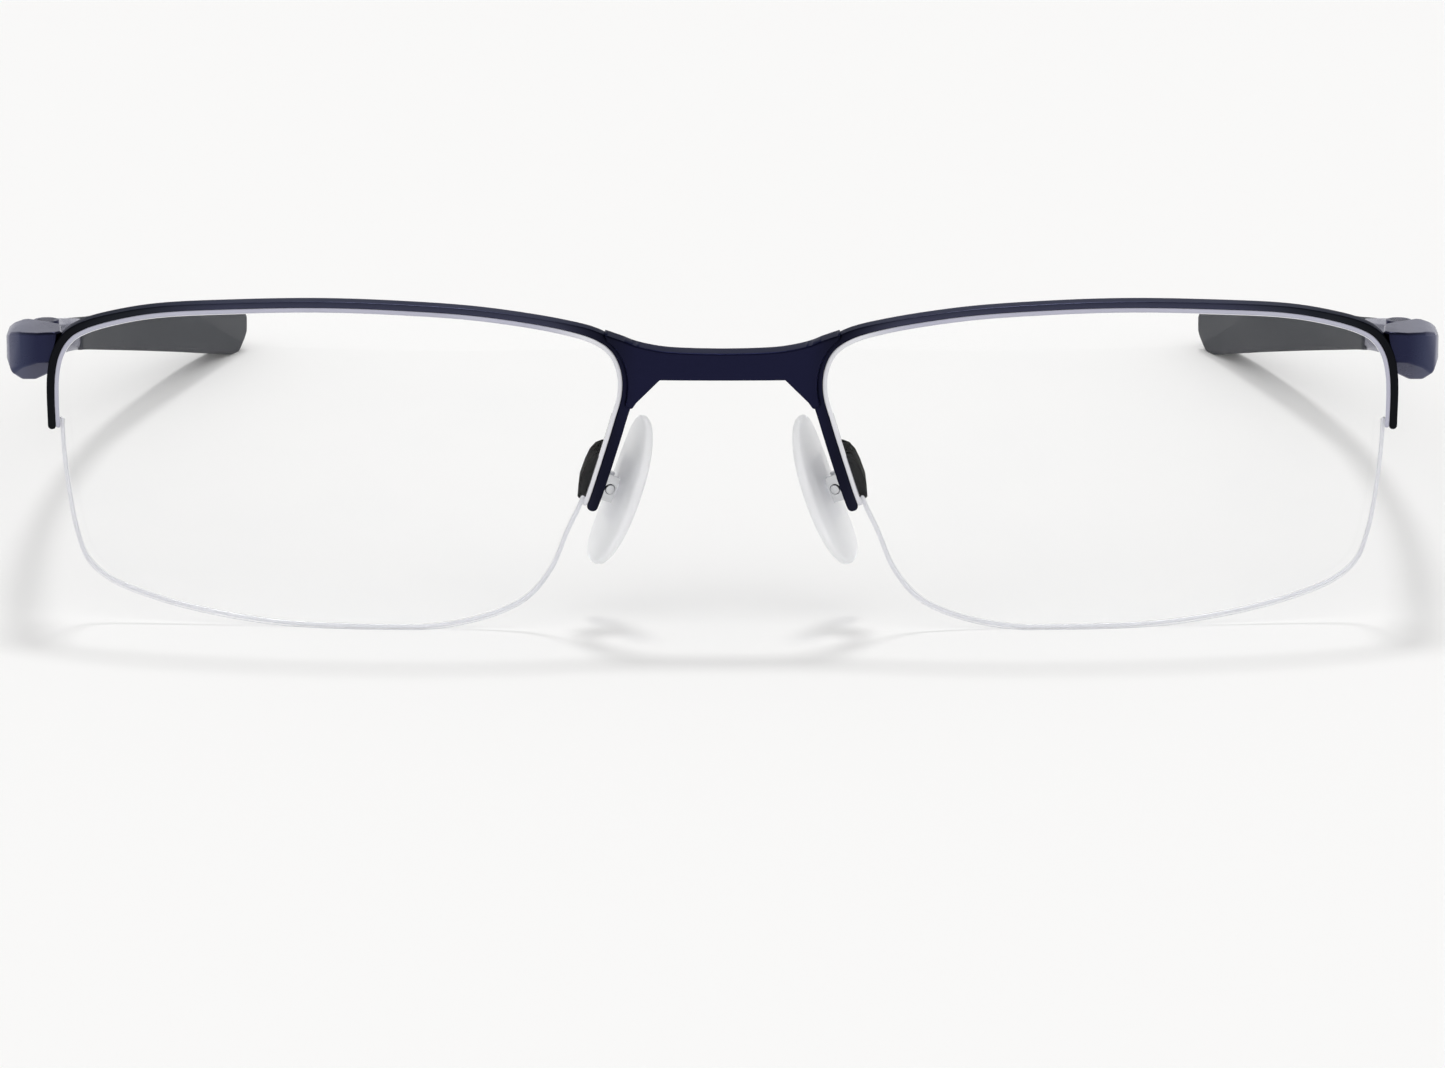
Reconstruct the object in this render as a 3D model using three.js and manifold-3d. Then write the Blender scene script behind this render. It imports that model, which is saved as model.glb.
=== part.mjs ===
// Half-rim metal eyeglasses, in millimetres: +X is the wearer's left, +Y runs back to the ears, +Z is up.
// They stand open on the lower edges of the lenses and on the ends of the temples.
import * as THREE from 'three';
import { mergeVertices } from 'three/addons/utils/BufferGeometryUtils.js';
import Module from 'manifold-3d';

const wasm = await Module();
wasm.setup();

// Driving dimensions. Depths are measured back from the front of the lenses.
const MIDDLE_DEPTH = 70.5; // depth of the frame's origin
const BASE_RADIUS = 120; // front curve of the lenses
const BASE_CENTRE = { x: 25.54, depth: 120.04, z: 15.7 };
const LENS_THICKNESS = 2.0;
const SEAT_GAP = 0.04; // lens to liner, and liner to rim
const LINER_WIDTH = 0.36;
const LINER_INSET = 0.1; // how far the liner stays inside each face of the lens
const RIM_PROUD = 0.05; // how far the rim stands past each face of the lens
const RIM_INSIDE = SEAT_GAP + LINER_WIDTH + SEAT_GAP;
const GROOVE_DEPTH = 0.5;
const GROOVE_WIDTH = 0.6;
const CORD_DIAMETER = 0.4;
const JOINT_GAP = 0.12; // brazed neighbours are kept this far apart
const BRIDGE_FRONT = 0.3;
const BRIDGE_BACK = 3.3;
const HINGE = { x: 65.1, depth: 15.5, low: 22.9, high: 27.4 };
const KNUCKLE_RADIUS = 1.25;
const KNUCKLE_CLEARANCE = 0.15;
const HINGE_SCREW_RADIUS = 0.6;
const PAD_SCREW_RADIUS = 0.45;
const SCREW_CLEARANCE = 0.08;
const BUTT_GAP = 0.15; // endpiece to temple when the temple is open
const SLEEVE_START = 77;
const TEMPLE_END = 141;
const CORE_END = 128;
const PAD = { x: 9.35, depth: 8.0, z: 12.15, length: 15, width: 8, thickness: 1.9 };
const PAD_LEAN = THREE.MathUtils.degToRad(20); // the top is nearer the nose
const PAD_SPLAY = THREE.MathUtils.degToRad(15); // the front edge is nearer the nose
const PAD_BOW = 0.6; // the ends bend this far away from the nose
const PAD_SCREW_BACK = 1.9; // from the pad's middle back to its screw
const FRONT_OF_ALL = -12; // the depths and heights that cutting solids run between
const BACK_OF_FRONT = 26;
const BELOW_ALL = -5;
const ABOVE_ALL = 40;
const ROUND_STEPS = 16;

// Colour, roughness and metalness of each finish
const FINISHES = {
  navyMetal: { color: 0x1e1f3a, roughness: 0.35, metalness: 0.7 },
  blackMetal: { color: 0x17181c, roughness: 0.4, metalness: 0.6 },
  steel: { color: 0x9a9ca3, roughness: 0.3, metalness: 1.0 },
  lensPlastic: { color: 0xf4f7f8, roughness: 0.05, metalness: 0, transparent: true, opacity: 0.2 },
  nylon: { color: 0xb4b3bf, roughness: 0.35, metalness: 0 },
  clearNylon: { color: 0xe4e6ea, roughness: 0.2, metalness: 0 },
  greyRubber: { color: 0x4a4d52, roughness: 0.8, metalness: 0 },
  silicone: { color: 0xdadcde, roughness: 0.3, metalness: 0, transparent: true, opacity: 0.6 },
};

// Lens edge as [x, z], anticlockwise seen from the front. The first list is the free lower edge, from
// the end of the rim's nose-side leg to the end of its ear-side leg. The second is held by the rim, and
// its third number is the rim's width there.
const FREE_EDGE = [
  [13.24, 12.5], [14.55, 9.7], [16.1, 6.0], [18.3, 3.2], [20.9, 1.7], [24.7, 0.55], [28.8, 0],
  [35.2, 0], [42.1, 0.2], [48.8, 1.05], [54.4, 2.3], [58.7, 3.9], [60.8, 5.7], [61.9, 8.6], [62.8, 14.0],
];
const RIMMED_EDGE = [
  [63.2, 18.85, 0.78], [63.22, 23.6, 0.78], [62.75, 25.67, 0.78], [61.82, 27.07, 0.76],
  [60.38, 27.95, 0.72], [57.35, 28.96, 0.64], [53.43, 29.77, 0.6], [45.7, 30.42, 0.6],
  [38.1, 30.72, 0.6], [30.5, 30.57, 0.6], [22.88, 30.02, 0.6], [15.45, 28.76, 0.65],
  [12.2, 27.7, 0.8], [10.77, 26.61, 0.95], [10.04, 24.93, 1.05], [9.98, 22.97, 1.08],
  [10.64, 20.55, 1.08], [12.14, 15.75, 1.08],
];
const LEG_END_WIDTH = 1.05; // the rim's width at the end of its nose-side leg
const EDGE_STEPS = 2; // straight pieces between two neighbouring points of the lens edge

// Temple from the hinge to its end: depth, middle line x, lower edge z
const TEMPLE_LINE = [
  [12, 66.8, 22.4], [30, 67.9, 19.5], [46, 68.4, 17.1], [62, 68.3, 14.7], [77, 67.5, 12.3],
  [92, 66.0, 9.35], [108, 63.0, 6.1], [124, 59.2, 2.75], [133, 56.8, 0.8], [143, 53.6, -1.3],
];
// Thickness and height of the metal temple at some depths, then of the rubber sleeve
const ARM_SIZES = [[12, 3.8, 5.4], [30, 3.0, 4.9], [46, 2.6, 4.3], [62, 2.4, 3.7], [77, 2.3, 3.3]];
const SLEEVE_SIZES = [[77, 2.7, 3.25], [92, 2.8, 3.6], [108, 3.3, 4.6], [124, 3.6, 5.1], [143, 3.2, 5.9]];
const CORE_SIZE = { width: 1.2, height: 1.8, lift: 0.8 };

const glasses = new THREE.Group();

// ---------- joining and cutting ----------

function welded(geometry) {
  const bare = geometry.clone();
  bare.deleteAttribute('normal');
  bare.deleteAttribute('uv');
  return mergeVertices(bare, 1e-4);
}

function turnOver(geometry) {
  const corners = geometry.index.array;
  for (let i = 0; i < corners.length; i += 3) {
    [corners[i], corners[i + 1]] = [corners[i + 1], corners[i]];
  }
}

function solidOf(geometry) {
  const merged = welded(geometry);
  const vertProperties = new Float32Array(merged.attributes.position.array);
  const triVerts = new Uint32Array(merged.index.array);
  return new wasm.Manifold(new wasm.Mesh({ numProp: 3, vertProperties, triVerts }));
}

function geometryOf(solid) {
  const mesh = solid.getMesh();
  const geometry = new THREE.BufferGeometry();
  geometry.setAttribute('position', new THREE.BufferAttribute(new Float32Array(mesh.vertProperties), 3));
  geometry.setIndex(new THREE.BufferAttribute(new Uint32Array(mesh.triVerts), 1));
  geometry.computeVertexNormals();
  return geometry;
}

function mirrored(geometry) {
  const turned = geometry.clone();
  turned.scale(-1, 1, 1);
  turnOver(turned);
  turned.computeVertexNormals();
  return turned;
}

function addPiece(name, geometry, finish) {
  const mesh = new THREE.Mesh(geometry, new THREE.MeshStandardMaterial(FINISHES[finish]));
  mesh.name = name;
  mesh.position.y = -MIDDLE_DEPTH;
  glasses.add(mesh);
}

function addPair(name, solid, finish) {
  const geometry = geometryOf(solid);
  addPiece(`${name}_left`, geometry, finish);
  addPiece(`${name}_right`, mirrored(geometry), finish);
}

// ---------- simple solids ----------

const toVector = ([x, y]) => new THREE.Vector2(x, y);

function extruded(outline, length, steps = 1) {
  const shape = new THREE.Shape(outline);
  return new THREE.ExtrudeGeometry(shape, { depth: length, steps, bevelEnabled: false });
}

// Outline seen from the front, as x and z, run from one depth back to another
function frontPrism(outline, near = FRONT_OF_ALL, far = BACK_OF_FRONT) {
  const geometry = extruded(outline, far - near);
  geometry.rotateX(Math.PI / 2);
  geometry.translate(0, far, 0);
  return solidOf(geometry);
}

// Outline seen from above, as x and depth, run up from one height to another
function planPrism(outline, low = BELOW_ALL, high = ABOVE_ALL) {
  const geometry = extruded(outline, high - low);
  geometry.translate(0, 0, low);
  return solidOf(geometry);
}

// Outline seen from the wearer's right, as depth and z, run along x
function sidePrism(outline, from, to) {
  const geometry = extruded(outline, to - from);
  geometry.rotateX(Math.PI / 2);
  geometry.rotateZ(Math.PI / 2);
  geometry.translate(from, 0, 0);
  return solidOf(geometry);
}

function block(low, high) {
  const size = high.map((value, i) => value - low[i]);
  const middle = high.map((value, i) => (value + low[i]) / 2);
  return new THREE.BoxGeometry(...size).translate(...middle);
}

const box = (low, high) => solidOf(block(low, high));

function uprightRod(x, depth, radius, low, high) {
  const geometry = new THREE.CylinderGeometry(radius, radius, high - low, ROUND_STEPS);
  geometry.rotateX(Math.PI / 2);
  geometry.translate(x, depth, (low + high) / 2);
  return solidOf(geometry);
}

// A curved sheet between two radii about the lenses' common centre
function curvedSheet(outerRadius, innerRadius) {
  const reach = 47;
  const rings = [0, 12, 24, 36, reach];
  const depthAt = (radius, ring) => BASE_CENTRE.depth - Math.sqrt(radius * radius - ring * ring);
  const front = rings.map((ring) => new THREE.Vector2(ring, depthAt(outerRadius, ring)));
  const back = rings.map((ring) => new THREE.Vector2(ring, depthAt(innerRadius, ring)));
  const geometry = new THREE.LatheGeometry([...front, ...back.reverse()], 2 * ROUND_STEPS);
  geometry.translate(BASE_CENTRE.x, 0, BASE_CENTRE.z);
  return solidOf(geometry);
}

// ---------- lens, rim and what holds the lens ----------

function lensEdge() {
  const points = [...FREE_EDGE, ...RIMMED_EDGE].map(([x, z, width = LEG_END_WIDTH]) => (
    new THREE.Vector3(x, width, z)
  ));
  const curve = new THREE.CatmullRomCurve3(points, true, 'centripetal');
  return curve.getPoints(points.length * EDGE_STEPS).slice(0, -1);
}

const EDGE_SAMPLES = lensEdge();
const EDGE = EDGE_SAMPLES.map((sample) => new THREE.Vector2(sample.x, Math.max(sample.z, 0)));
const FREE_COUNT = FREE_EDGE.length * EDGE_STEPS;

// The lens edge moved outwards by a distance, and by some share of the rim's width as well
function offsetEdge(distance, rimShare = 0) {
  const count = EDGE.length;
  return EDGE.map((point, i) => {
    const arriving = point.clone().sub(EDGE[(i + count - 1) % count]).normalize();
    const leaving = EDGE[(i + 1) % count].clone().sub(point).normalize();
    const along = arriving.clone().add(leaving).normalize();
    const outward = new THREE.Vector2(along.y, -along.x);
    const reach = distance + rimShare * EDGE_SAMPLES[i].y;
    return point.clone().addScaledVector(outward, reach / along.dot(leaving));
  });
}

// The stretch between two of the edge's points of the band between two loops, with round ends
function edgeBand(innerLoop, outerLoop, first, last) {
  const count = EDGE.length;
  const stretch = (loop) => Array.from({ length: last - first + 1 }, (_, i) => loop[(first + i) % count]);
  const outer = stretch(outerLoop);
  const inner = stretch(innerLoop);
  const tail = roundEnd(outer[outer.length - 1], inner[inner.length - 1]);
  const head = roundEnd(inner[0], outer[0]);
  return [...outer, ...tail, ...inner.reverse(), ...head];
}

// Points of a half circle from one side of a band to the other, turning anticlockwise
function roundEnd(from, to) {
  const middle = from.clone().add(to).multiplyScalar(0.5);
  const arm = from.clone().sub(middle);
  const turns = [0.25, 0.5, 0.75];
  return turns.map((share) => arm.clone().rotateAround(new THREE.Vector2(), Math.PI * share).add(middle));
}

const RIM_FIRST = FREE_COUNT;
const RIM_LAST = EDGE.length;

function makeLens() {
  const blank = curvedSheet(BASE_RADIUS, BASE_RADIUS - LENS_THICKNESS).intersect(frontPrism(EDGE));
  const middle = BASE_RADIUS - LENS_THICKNESS / 2;
  const ring = frontPrism(offsetEdge(2)).subtract(frontPrism(offsetEdge(-GROOVE_DEPTH)));
  const groove = curvedSheet(middle + GROOVE_WIDTH / 2, middle - GROOVE_WIDTH / 2).intersect(ring);
  return blank.subtract(groove);
}

function makeLensCord() {
  const middle = BASE_RADIUS - LENS_THICKNESS / 2;
  const sheet = curvedSheet(middle + CORD_DIAMETER / 2, middle - CORD_DIAMETER / 2);
  const outside = -(GROOVE_DEPTH - CORD_DIAMETER) / 2;
  const inner = offsetEdge(outside - CORD_DIAMETER);
  const first = RIM_LAST - EDGE_STEPS;
  const last = RIM_LAST + FREE_COUNT + EDGE_STEPS;
  return sheet.intersect(frontPrism(edgeBand(inner, offsetEdge(outside), first, last)));
}

function makeRimLiner() {
  const sheet = curvedSheet(BASE_RADIUS - LINER_INSET, BASE_RADIUS - LENS_THICKNESS + LINER_INSET);
  const outer = offsetEdge(SEAT_GAP + LINER_WIDTH);
  return sheet.intersect(frontPrism(edgeBand(offsetEdge(SEAT_GAP), outer, RIM_FIRST, RIM_LAST)));
}

function makeRim() {
  const sheet = curvedSheet(BASE_RADIUS + RIM_PROUD, BASE_RADIUS - LENS_THICKNESS - RIM_PROUD);
  const outer = offsetEdge(RIM_INSIDE, 1);
  return sheet.intersect(frontPrism(edgeBand(offsetEdge(RIM_INSIDE), outer, RIM_FIRST, RIM_LAST)));
}

// Everything that the rim and its lens take up, from well in front of them to just behind them
function rimRoom() {
  const sheet = curvedSheet(BASE_RADIUS + 6, BASE_RADIUS - LENS_THICKNESS - RIM_PROUD - JOINT_GAP);
  return sheet.intersect(frontPrism(offsetEdge(RIM_INSIDE + JOINT_GAP, 1)));
}

// ---------- bridge ----------

function makeBridge() {
  const half = [
    [0, 27.0], [3.0, 27.05], [5.6, 27.2], [7.6, 27.55], [8.6, 27.83], [9.4, 28.15], [11.0, 28.75],
    [11.6, 28.3], [10.4, 26.8], [9.6, 25.0], [9.5, 22.4], [9.4, 21.2], [8.55, 21.6], [8.1, 22.2], [5.95, 24.4],
  ];
  const right = half.map(toVector).reverse();
  const left = half.slice(1).map(([x, z]) => new THREE.Vector2(-x, z));
  const plate = frontPrism([...right, ...left], BRIDGE_FRONT, BRIDGE_BACK);
  const room = rimRoom();
  return plate.subtract(room).subtract(solidOf(mirrored(geometryOf(room))));
}

// ---------- endpiece, hinge and temple ----------

const KNUCKLE_HEIGHT = (HINGE.high - HINGE.low - 2 * KNUCKLE_CLEARANCE) / 3;
const MIDDLE_LOW = HINGE.low + KNUCKLE_HEIGHT + KNUCKLE_CLEARANCE;
const MIDDLE_HIGH = MIDDLE_LOW + KNUCKLE_HEIGHT;
const SCREW_HEAD = { radius: 1.0, height: 0.5 };

const hingeRod = (radius, low, high) => uprightRod(HINGE.x, HINGE.depth, radius, low, high);

function makeEndpiece() {
  const plan = [
    [61.4, 8.4], [63.6, 6.9], [65.4, 7.1], [67.0, 8.2], [68.2, 10.0], [68.7, 12.4], [68.75, HINGE.depth],
    [63.8, HINGE.depth], [63.4, 11.5],
  ].map(toVector);
  const front = [
    [61.2, 28.6], [61.2, 24.6], [64.4, 23.3], [65.8, 22.4], [67.2, 22.4], [68.75, 24.1], [68.75, 26.6],
    [68.2, 27.15], [67.2, 27.5], [64.5, 27.75],
  ].map(toVector);
  const side = [[5, 26.2], [11, 22.4], [16, 22.4], [16, 30], [5, 30]].map(toVector);
  const body = planPrism(plan).intersect(frontPrism(front)).intersect(sidePrism(side, 60, 70));
  const lowKnuckle = hingeRod(KNUCKLE_RADIUS, HINGE.low, MIDDLE_LOW - KNUCKLE_CLEARANCE);
  const highKnuckle = hingeRod(KNUCKLE_RADIUS, MIDDLE_HIGH + KNUCKLE_CLEARANCE, HINGE.high);
  const room = KNUCKLE_RADIUS + KNUCKLE_CLEARANCE;
  const seat = HINGE.high - SCREW_HEAD.height - SCREW_CLEARANCE;
  return body
    .subtract(rimRoom())
    .add(lowKnuckle)
    .add(highKnuckle)
    .subtract(hingeRod(room, MIDDLE_LOW - KNUCKLE_CLEARANCE, MIDDLE_HIGH + KNUCKLE_CLEARANCE))
    .subtract(hingeRod(HINGE_SCREW_RADIUS + SCREW_CLEARANCE, BELOW_ALL, ABOVE_ALL))
    .subtract(hingeRod(SCREW_HEAD.radius + SCREW_CLEARANCE, seat, ABOVE_ALL));
}

function makeHingeScrew() {
  const shank = hingeRod(HINGE_SCREW_RADIUS, HINGE.low, HINGE.high - SCREW_HEAD.height / 2);
  const head = hingeRod(SCREW_HEAD.radius, HINGE.high - SCREW_HEAD.height, HINGE.high);
  const slot = box(
    [HINGE.x - 2, HINGE.depth - 0.12, HINGE.high - 0.25],
    [HINGE.x + 2, HINGE.depth + 0.12, HINGE.high + 1],
  );
  return shank.add(head).subtract(slot);
}

const LINE = new THREE.CatmullRomCurve3(TEMPLE_LINE.map(([depth, x, z]) => new THREE.Vector3(x, depth, z)));

// The point of a curve that climbs in y, where its y is a given depth
function atDepth(curve, depth) {
  let low = 0;
  let high = 1;
  for (let i = 0; i < 30; i += 1) {
    const middle = (low + high) / 2;
    if (curve.getPoint(middle).y < depth) low = middle;
    else high = middle;
  }
  return { point: curve.getPoint(low), along: curve.getTangent(low) };
}

// A section of unit size, drawn as a share of thickness and a share of height, carried along the temple
function alongTemple(section, from, to, steps, sizeAt) {
  const geometry = welded(extruded(section, 1, steps));
  const place = geometry.attributes.position;
  for (let i = 0; i < place.count; i += 1) {
    const depth = from + (to - from) * place.getZ(i);
    const { point, along } = atDepth(LINE, depth);
    const { width, height, lift } = sizeAt(depth);
    const across = place.getX(i) * width;
    const turn = Math.atan2(along.x, along.y);
    place.setXYZ(
      i,
      point.x + across * Math.cos(turn),
      depth - across * Math.sin(turn),
      point.z + lift + place.getY(i) * height,
    );
  }
  turnOver(geometry);
  return solidOf(geometry);
}

function sizesFrom(rows) {
  const points = rows.map(([depth, width, height]) => new THREE.Vector3(width, depth, height));
  const curve = new THREE.CatmullRomCurve3(points);
  return (depth) => {
    const { point } = atDepth(curve, depth);
    return { width: point.x, height: point.z, lift: 0 };
  };
}

const ARM_SECTION = [
  [-0.5, 0.14], [-0.34, 0], [0.12, 0], [0.5, 0.3], [0.5, 0.86], [0.32, 1], [-0.36, 1], [-0.5, 0.88],
].map(toVector);
const SLEEVE_SECTION = [
  [-0.5, 0.07], [-0.44, 0], [0.44, 0], [0.5, 0.08], [0.5, 0.82], [0.3, 1], [-0.3, 1], [-0.5, 0.82],
].map(toVector);

// The thin end of the metal temple that the sleeve is pushed over, or the room for it
function templeCore(spare, from, to) {
  const size = {
    width: CORE_SIZE.width + 2 * spare,
    height: CORE_SIZE.height + 2 * spare,
    lift: CORE_SIZE.lift - spare,
  };
  return alongTemple(SLEEVE_SECTION, from, to, 14, () => size);
}

function makeTemple() {
  const butt = HINGE.depth + BUTT_GAP;
  const arm = alongTemple(ARM_SECTION, 12.2, SLEEVE_START - 0.2, 16, sizesFrom(ARM_SIZES));
  const ahead = box([55, FRONT_OF_ALL, BELOW_ALL], [80, butt, ABOVE_ALL]);
  const room = KNUCKLE_RADIUS + KNUCKLE_CLEARANCE;
  const web = box(
    [HINGE.x, butt, MIDDLE_LOW],
    [HINGE.x + 2, HINGE.depth + KNUCKLE_RADIUS, MIDDLE_HIGH],
  );
  return arm
    .subtract(ahead)
    .subtract(hingeRod(room, BELOW_ALL, MIDDLE_LOW))
    .subtract(hingeRod(room, MIDDLE_HIGH, ABOVE_ALL))
    .add(web)
    .add(hingeRod(KNUCKLE_RADIUS, MIDDLE_LOW, MIDDLE_HIGH))
    .subtract(hingeRod(HINGE_SCREW_RADIUS + SCREW_CLEARANCE, BELOW_ALL, ABOVE_ALL))
    .add(templeCore(0, SLEEVE_START - 1, CORE_END));
}

function makeSleeve() {
  const sock = alongTemple(SLEEVE_SECTION, SLEEVE_START, TEMPLE_END + 2, 18, sizesFrom(SLEEVE_SIZES));
  const profile = [
    [70, 0], [TEMPLE_END - 2.4, 0], [TEMPLE_END - 0.5, 1.2], [TEMPLE_END, 1.9],
    [TEMPLE_END, 4.3], [TEMPLE_END - 0.5, 5.0], [TEMPLE_END - 1.6, 5.4], [TEMPLE_END - 12, 12], [70, 25],
  ].map(toVector);
  const hollow = templeCore(0.15, SLEEVE_START - 2, CORE_END + 0.5);
  return sock.intersect(sidePrism(profile, 40, 80)).subtract(hollow);
}

// ---------- nose pads ----------

// From the pad's own axes (to the nose, along its width, up its length) to the frame of the glasses
function padPlacement() {
  const up = new THREE.Vector3(-Math.sin(PAD_LEAN), 0, Math.cos(PAD_LEAN));
  const flatNormal = new THREE.Vector3(-Math.cos(PAD_LEAN), 0, -Math.sin(PAD_LEAN));
  const toNose = flatNormal.applyAxisAngle(up, -PAD_SPLAY);
  const across = new THREE.Vector3().crossVectors(up, toNose);
  const matrix = new THREE.Matrix4().makeBasis(toNose, across, up);
  return matrix.setPosition(PAD.x, PAD.depth, PAD.z);
}

const PAD_PLACE = padPlacement();

function placedAtPad(geometry) {
  return solidOf(geometry.applyMatrix4(PAD_PLACE));
}

const padBlock = (low, high) => placedAtPad(block(low, high));

function padRod(radius, from, to) {
  const geometry = new THREE.CylinderGeometry(radius, radius, to - from, ROUND_STEPS);
  geometry.translate(-PAD_SCREW_BACK, (from + to) / 2, 0);
  return placedAtPad(geometry);
}

const PAD_CORE = { thickness: 0.5, halfWidth: 1.9, halfLength: 3.2 };
const PAD_STEM = { halfWidth: 0.6, halfHeight: 0.6, behindScrew: 0.45 };
const PAD_BOX = { halfWidth: 1.3, halfHeight: 1.25, slot: 0.7, near: 1.3, far: 3.0, wall: 0.4 };
const PAD_SCREW_HEAD = { radius: 0.75, from: -PAD_BOX.halfWidth - 0.55, to: -PAD_BOX.halfWidth - 0.1 };
const PAD_SCREW_ROOM = padRod(PAD_SCREW_RADIUS + SCREW_CLEARANCE, -3, 3);

function padInsert(spare) {
  const plate = padBlock(
    [-PAD_CORE.thickness / 2 - spare, -PAD_CORE.halfWidth - spare, -PAD_CORE.halfLength - spare],
    [PAD_CORE.thickness / 2 + spare, PAD_CORE.halfWidth + spare, PAD_CORE.halfLength + spare],
  );
  const stem = padBlock(
    [-PAD_SCREW_BACK - PAD_STEM.behindScrew, -PAD_STEM.halfWidth - spare, -PAD_STEM.halfHeight - spare],
    [0, PAD_STEM.halfWidth + spare, PAD_STEM.halfHeight + spare],
  );
  return plate.add(stem);
}

function makeNosePad() {
  const geometry = new THREE.SphereGeometry(1, ROUND_STEPS, 10);
  geometry.rotateX(Math.PI / 2);
  geometry.scale(PAD.thickness / 2, PAD.width / 2, PAD.length / 2);
  const place = geometry.attributes.position;
  for (let i = 0; i < place.count; i += 1) {
    const share = place.getZ(i) / (PAD.length / 2);
    place.setX(i, place.getX(i) - PAD_BOW * share * share);
  }
  return placedAtPad(geometry).subtract(padInsert(0.12));
}

function makePadCore() {
  return padInsert(0).subtract(PAD_SCREW_ROOM);
}

function makePadBox() {
  const { halfWidth, halfHeight, slot, near, far, wall } = PAD_BOX;
  const outside = padBlock([-far, -halfWidth, -halfHeight], [-near, halfWidth, halfHeight]);
  const channel = padBlock([-far + wall, -slot, -halfHeight - 1], [-near + 1, slot, halfHeight + 1]);
  return outside.subtract(channel).subtract(PAD_SCREW_ROOM);
}

function makePadScrew() {
  const shank = padRod(PAD_SCREW_RADIUS, PAD_SCREW_HEAD.to - 0.2, PAD_BOX.halfWidth + 0.2);
  return shank.add(padRod(PAD_SCREW_HEAD.radius, PAD_SCREW_HEAD.from, PAD_SCREW_HEAD.to));
}

const STRAP_HEIGHT = 9;
const STRAP_MIDDLE = 15;

// A bent strap behind the rim's nose-side leg, which carries the pad box
function makePadArm() {
  const lean = Math.tan(THREE.MathUtils.degToRad(19));
  const strap = [
    [11.9, 3.1], [13.1, 3.5], [13.75, 4.9], [13.8, 6.8], [13.3, 8.4], [12.1, 9.4],
    [11.9, 8.3], [12.6, 7.6], [12.9, 6.4], [12.8, 5.2], [12.4, 4.4], [11.7, 4.1],
  ];
  const upright = extruded(strap.map(toVector), STRAP_HEIGHT);
  upright.translate(0, 0, -STRAP_HEIGHT / 2);
  upright.applyMatrix4(new THREE.Matrix4().makeShear(0, 0, 0, 0, -lean, 0));
  upright.translate(0, 0, STRAP_MIDDLE);
  const fin = [
    [8.0, 13.4], [10.0, 12.2], [13.4, 12.2], [13.85, 12.75], [13.7, 14.0], [13.2, 15.4], [12.75, 16.3],
    [12.2, 16.85], [11.4, 17.05], [8.0, 16.9],
  ];
  const shape = frontPrism(fin.map(toVector));
  const boxRoom = padBlock(
    [-PAD_BOX.far - JOINT_GAP, -PAD_BOX.halfWidth - JOINT_GAP, -PAD_BOX.halfHeight - JOINT_GAP],
    [2, PAD_BOX.halfWidth + JOINT_GAP, PAD_BOX.halfHeight + JOINT_GAP],
  );
  const screwRoom = padRod(PAD_SCREW_HEAD.radius + JOINT_GAP, -4, 4);
  return solidOf(upright).intersect(shape).subtract(rimRoom()).subtract(boxRoom).subtract(screwRoom);
}

// ---------- the whole frame ----------

addPiece('bridge', geometryOf(makeBridge()), 'navyMetal');
addPair('rim', makeRim(), 'navyMetal');
addPair('rim_liner', makeRimLiner(), 'nylon');
addPair('lens', makeLens(), 'lensPlastic');
addPair('lens_cord', makeLensCord(), 'clearNylon');
addPair('endpiece', makeEndpiece(), 'navyMetal');
addPair('hinge_screw', makeHingeScrew(), 'steel');
addPair('temple', makeTemple(), 'navyMetal');
addPair('temple_sleeve', makeSleeve(), 'greyRubber');
addPair('nose_pad_arm', makePadArm(), 'blackMetal');
addPair('nose_pad_box', makePadBox(), 'steel');
addPair('nose_pad_screw', makePadScrew(), 'steel');
addPair('nose_pad_core', makePadCore(), 'clearNylon');
addPair('nose_pad', makeNosePad(), 'silicone');

export default glasses;
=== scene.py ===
"""Half-rim eyeglasses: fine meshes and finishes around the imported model, in metres, Z up."""

import logging
import math
from collections.abc import Callable, Sequence
from dataclasses import dataclass, field
from enum import Enum
from typing import ClassVar

import bmesh
import bpy
from mathutils import Matrix, Vector


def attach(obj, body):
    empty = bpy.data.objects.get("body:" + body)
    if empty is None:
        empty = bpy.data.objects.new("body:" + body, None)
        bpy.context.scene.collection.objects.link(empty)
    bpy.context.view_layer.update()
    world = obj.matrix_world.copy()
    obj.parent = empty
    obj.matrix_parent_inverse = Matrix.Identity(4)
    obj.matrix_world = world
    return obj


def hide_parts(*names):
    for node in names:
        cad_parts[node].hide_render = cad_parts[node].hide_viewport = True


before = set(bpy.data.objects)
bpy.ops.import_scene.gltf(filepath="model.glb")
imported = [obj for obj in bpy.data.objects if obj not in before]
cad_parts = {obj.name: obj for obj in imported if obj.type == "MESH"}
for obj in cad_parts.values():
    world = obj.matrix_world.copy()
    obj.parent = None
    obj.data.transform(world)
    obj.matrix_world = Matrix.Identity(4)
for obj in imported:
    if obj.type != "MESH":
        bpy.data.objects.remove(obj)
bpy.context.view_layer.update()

LOG = logging.getLogger("eyeglasses")
MM = 0.001

# Depths below are in millimetres back from the front of the lenses; the row's origin is this far back.
MIDDLE_DEPTH = 70.5

# About half the glasses' width in millimetres, which painted shade in a colour is placed by.
HALF_WIDTH = 70.0

Point = tuple[float, float]
Row = tuple[float, float, float]
Colour = tuple[float, float, float]

# Painted shade: how far out, as a share of HALF_WIDTH, and what a colour is multiplied by there, darker where
# shade falls.
PaintedShades = tuple[tuple[float, Colour], ...]


class Side(Enum):
    """The wearer's side that a piece is on, with the sign of its x."""

    LEFT = 1
    RIGHT = -1

    def of(self, piece: str) -> str:
        """A piece's name with the side's word, as the nodes are named."""
        return f"{piece}_{self.name.lower()}"


# ---------------------------------------------------------------- curves and meshes


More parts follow.
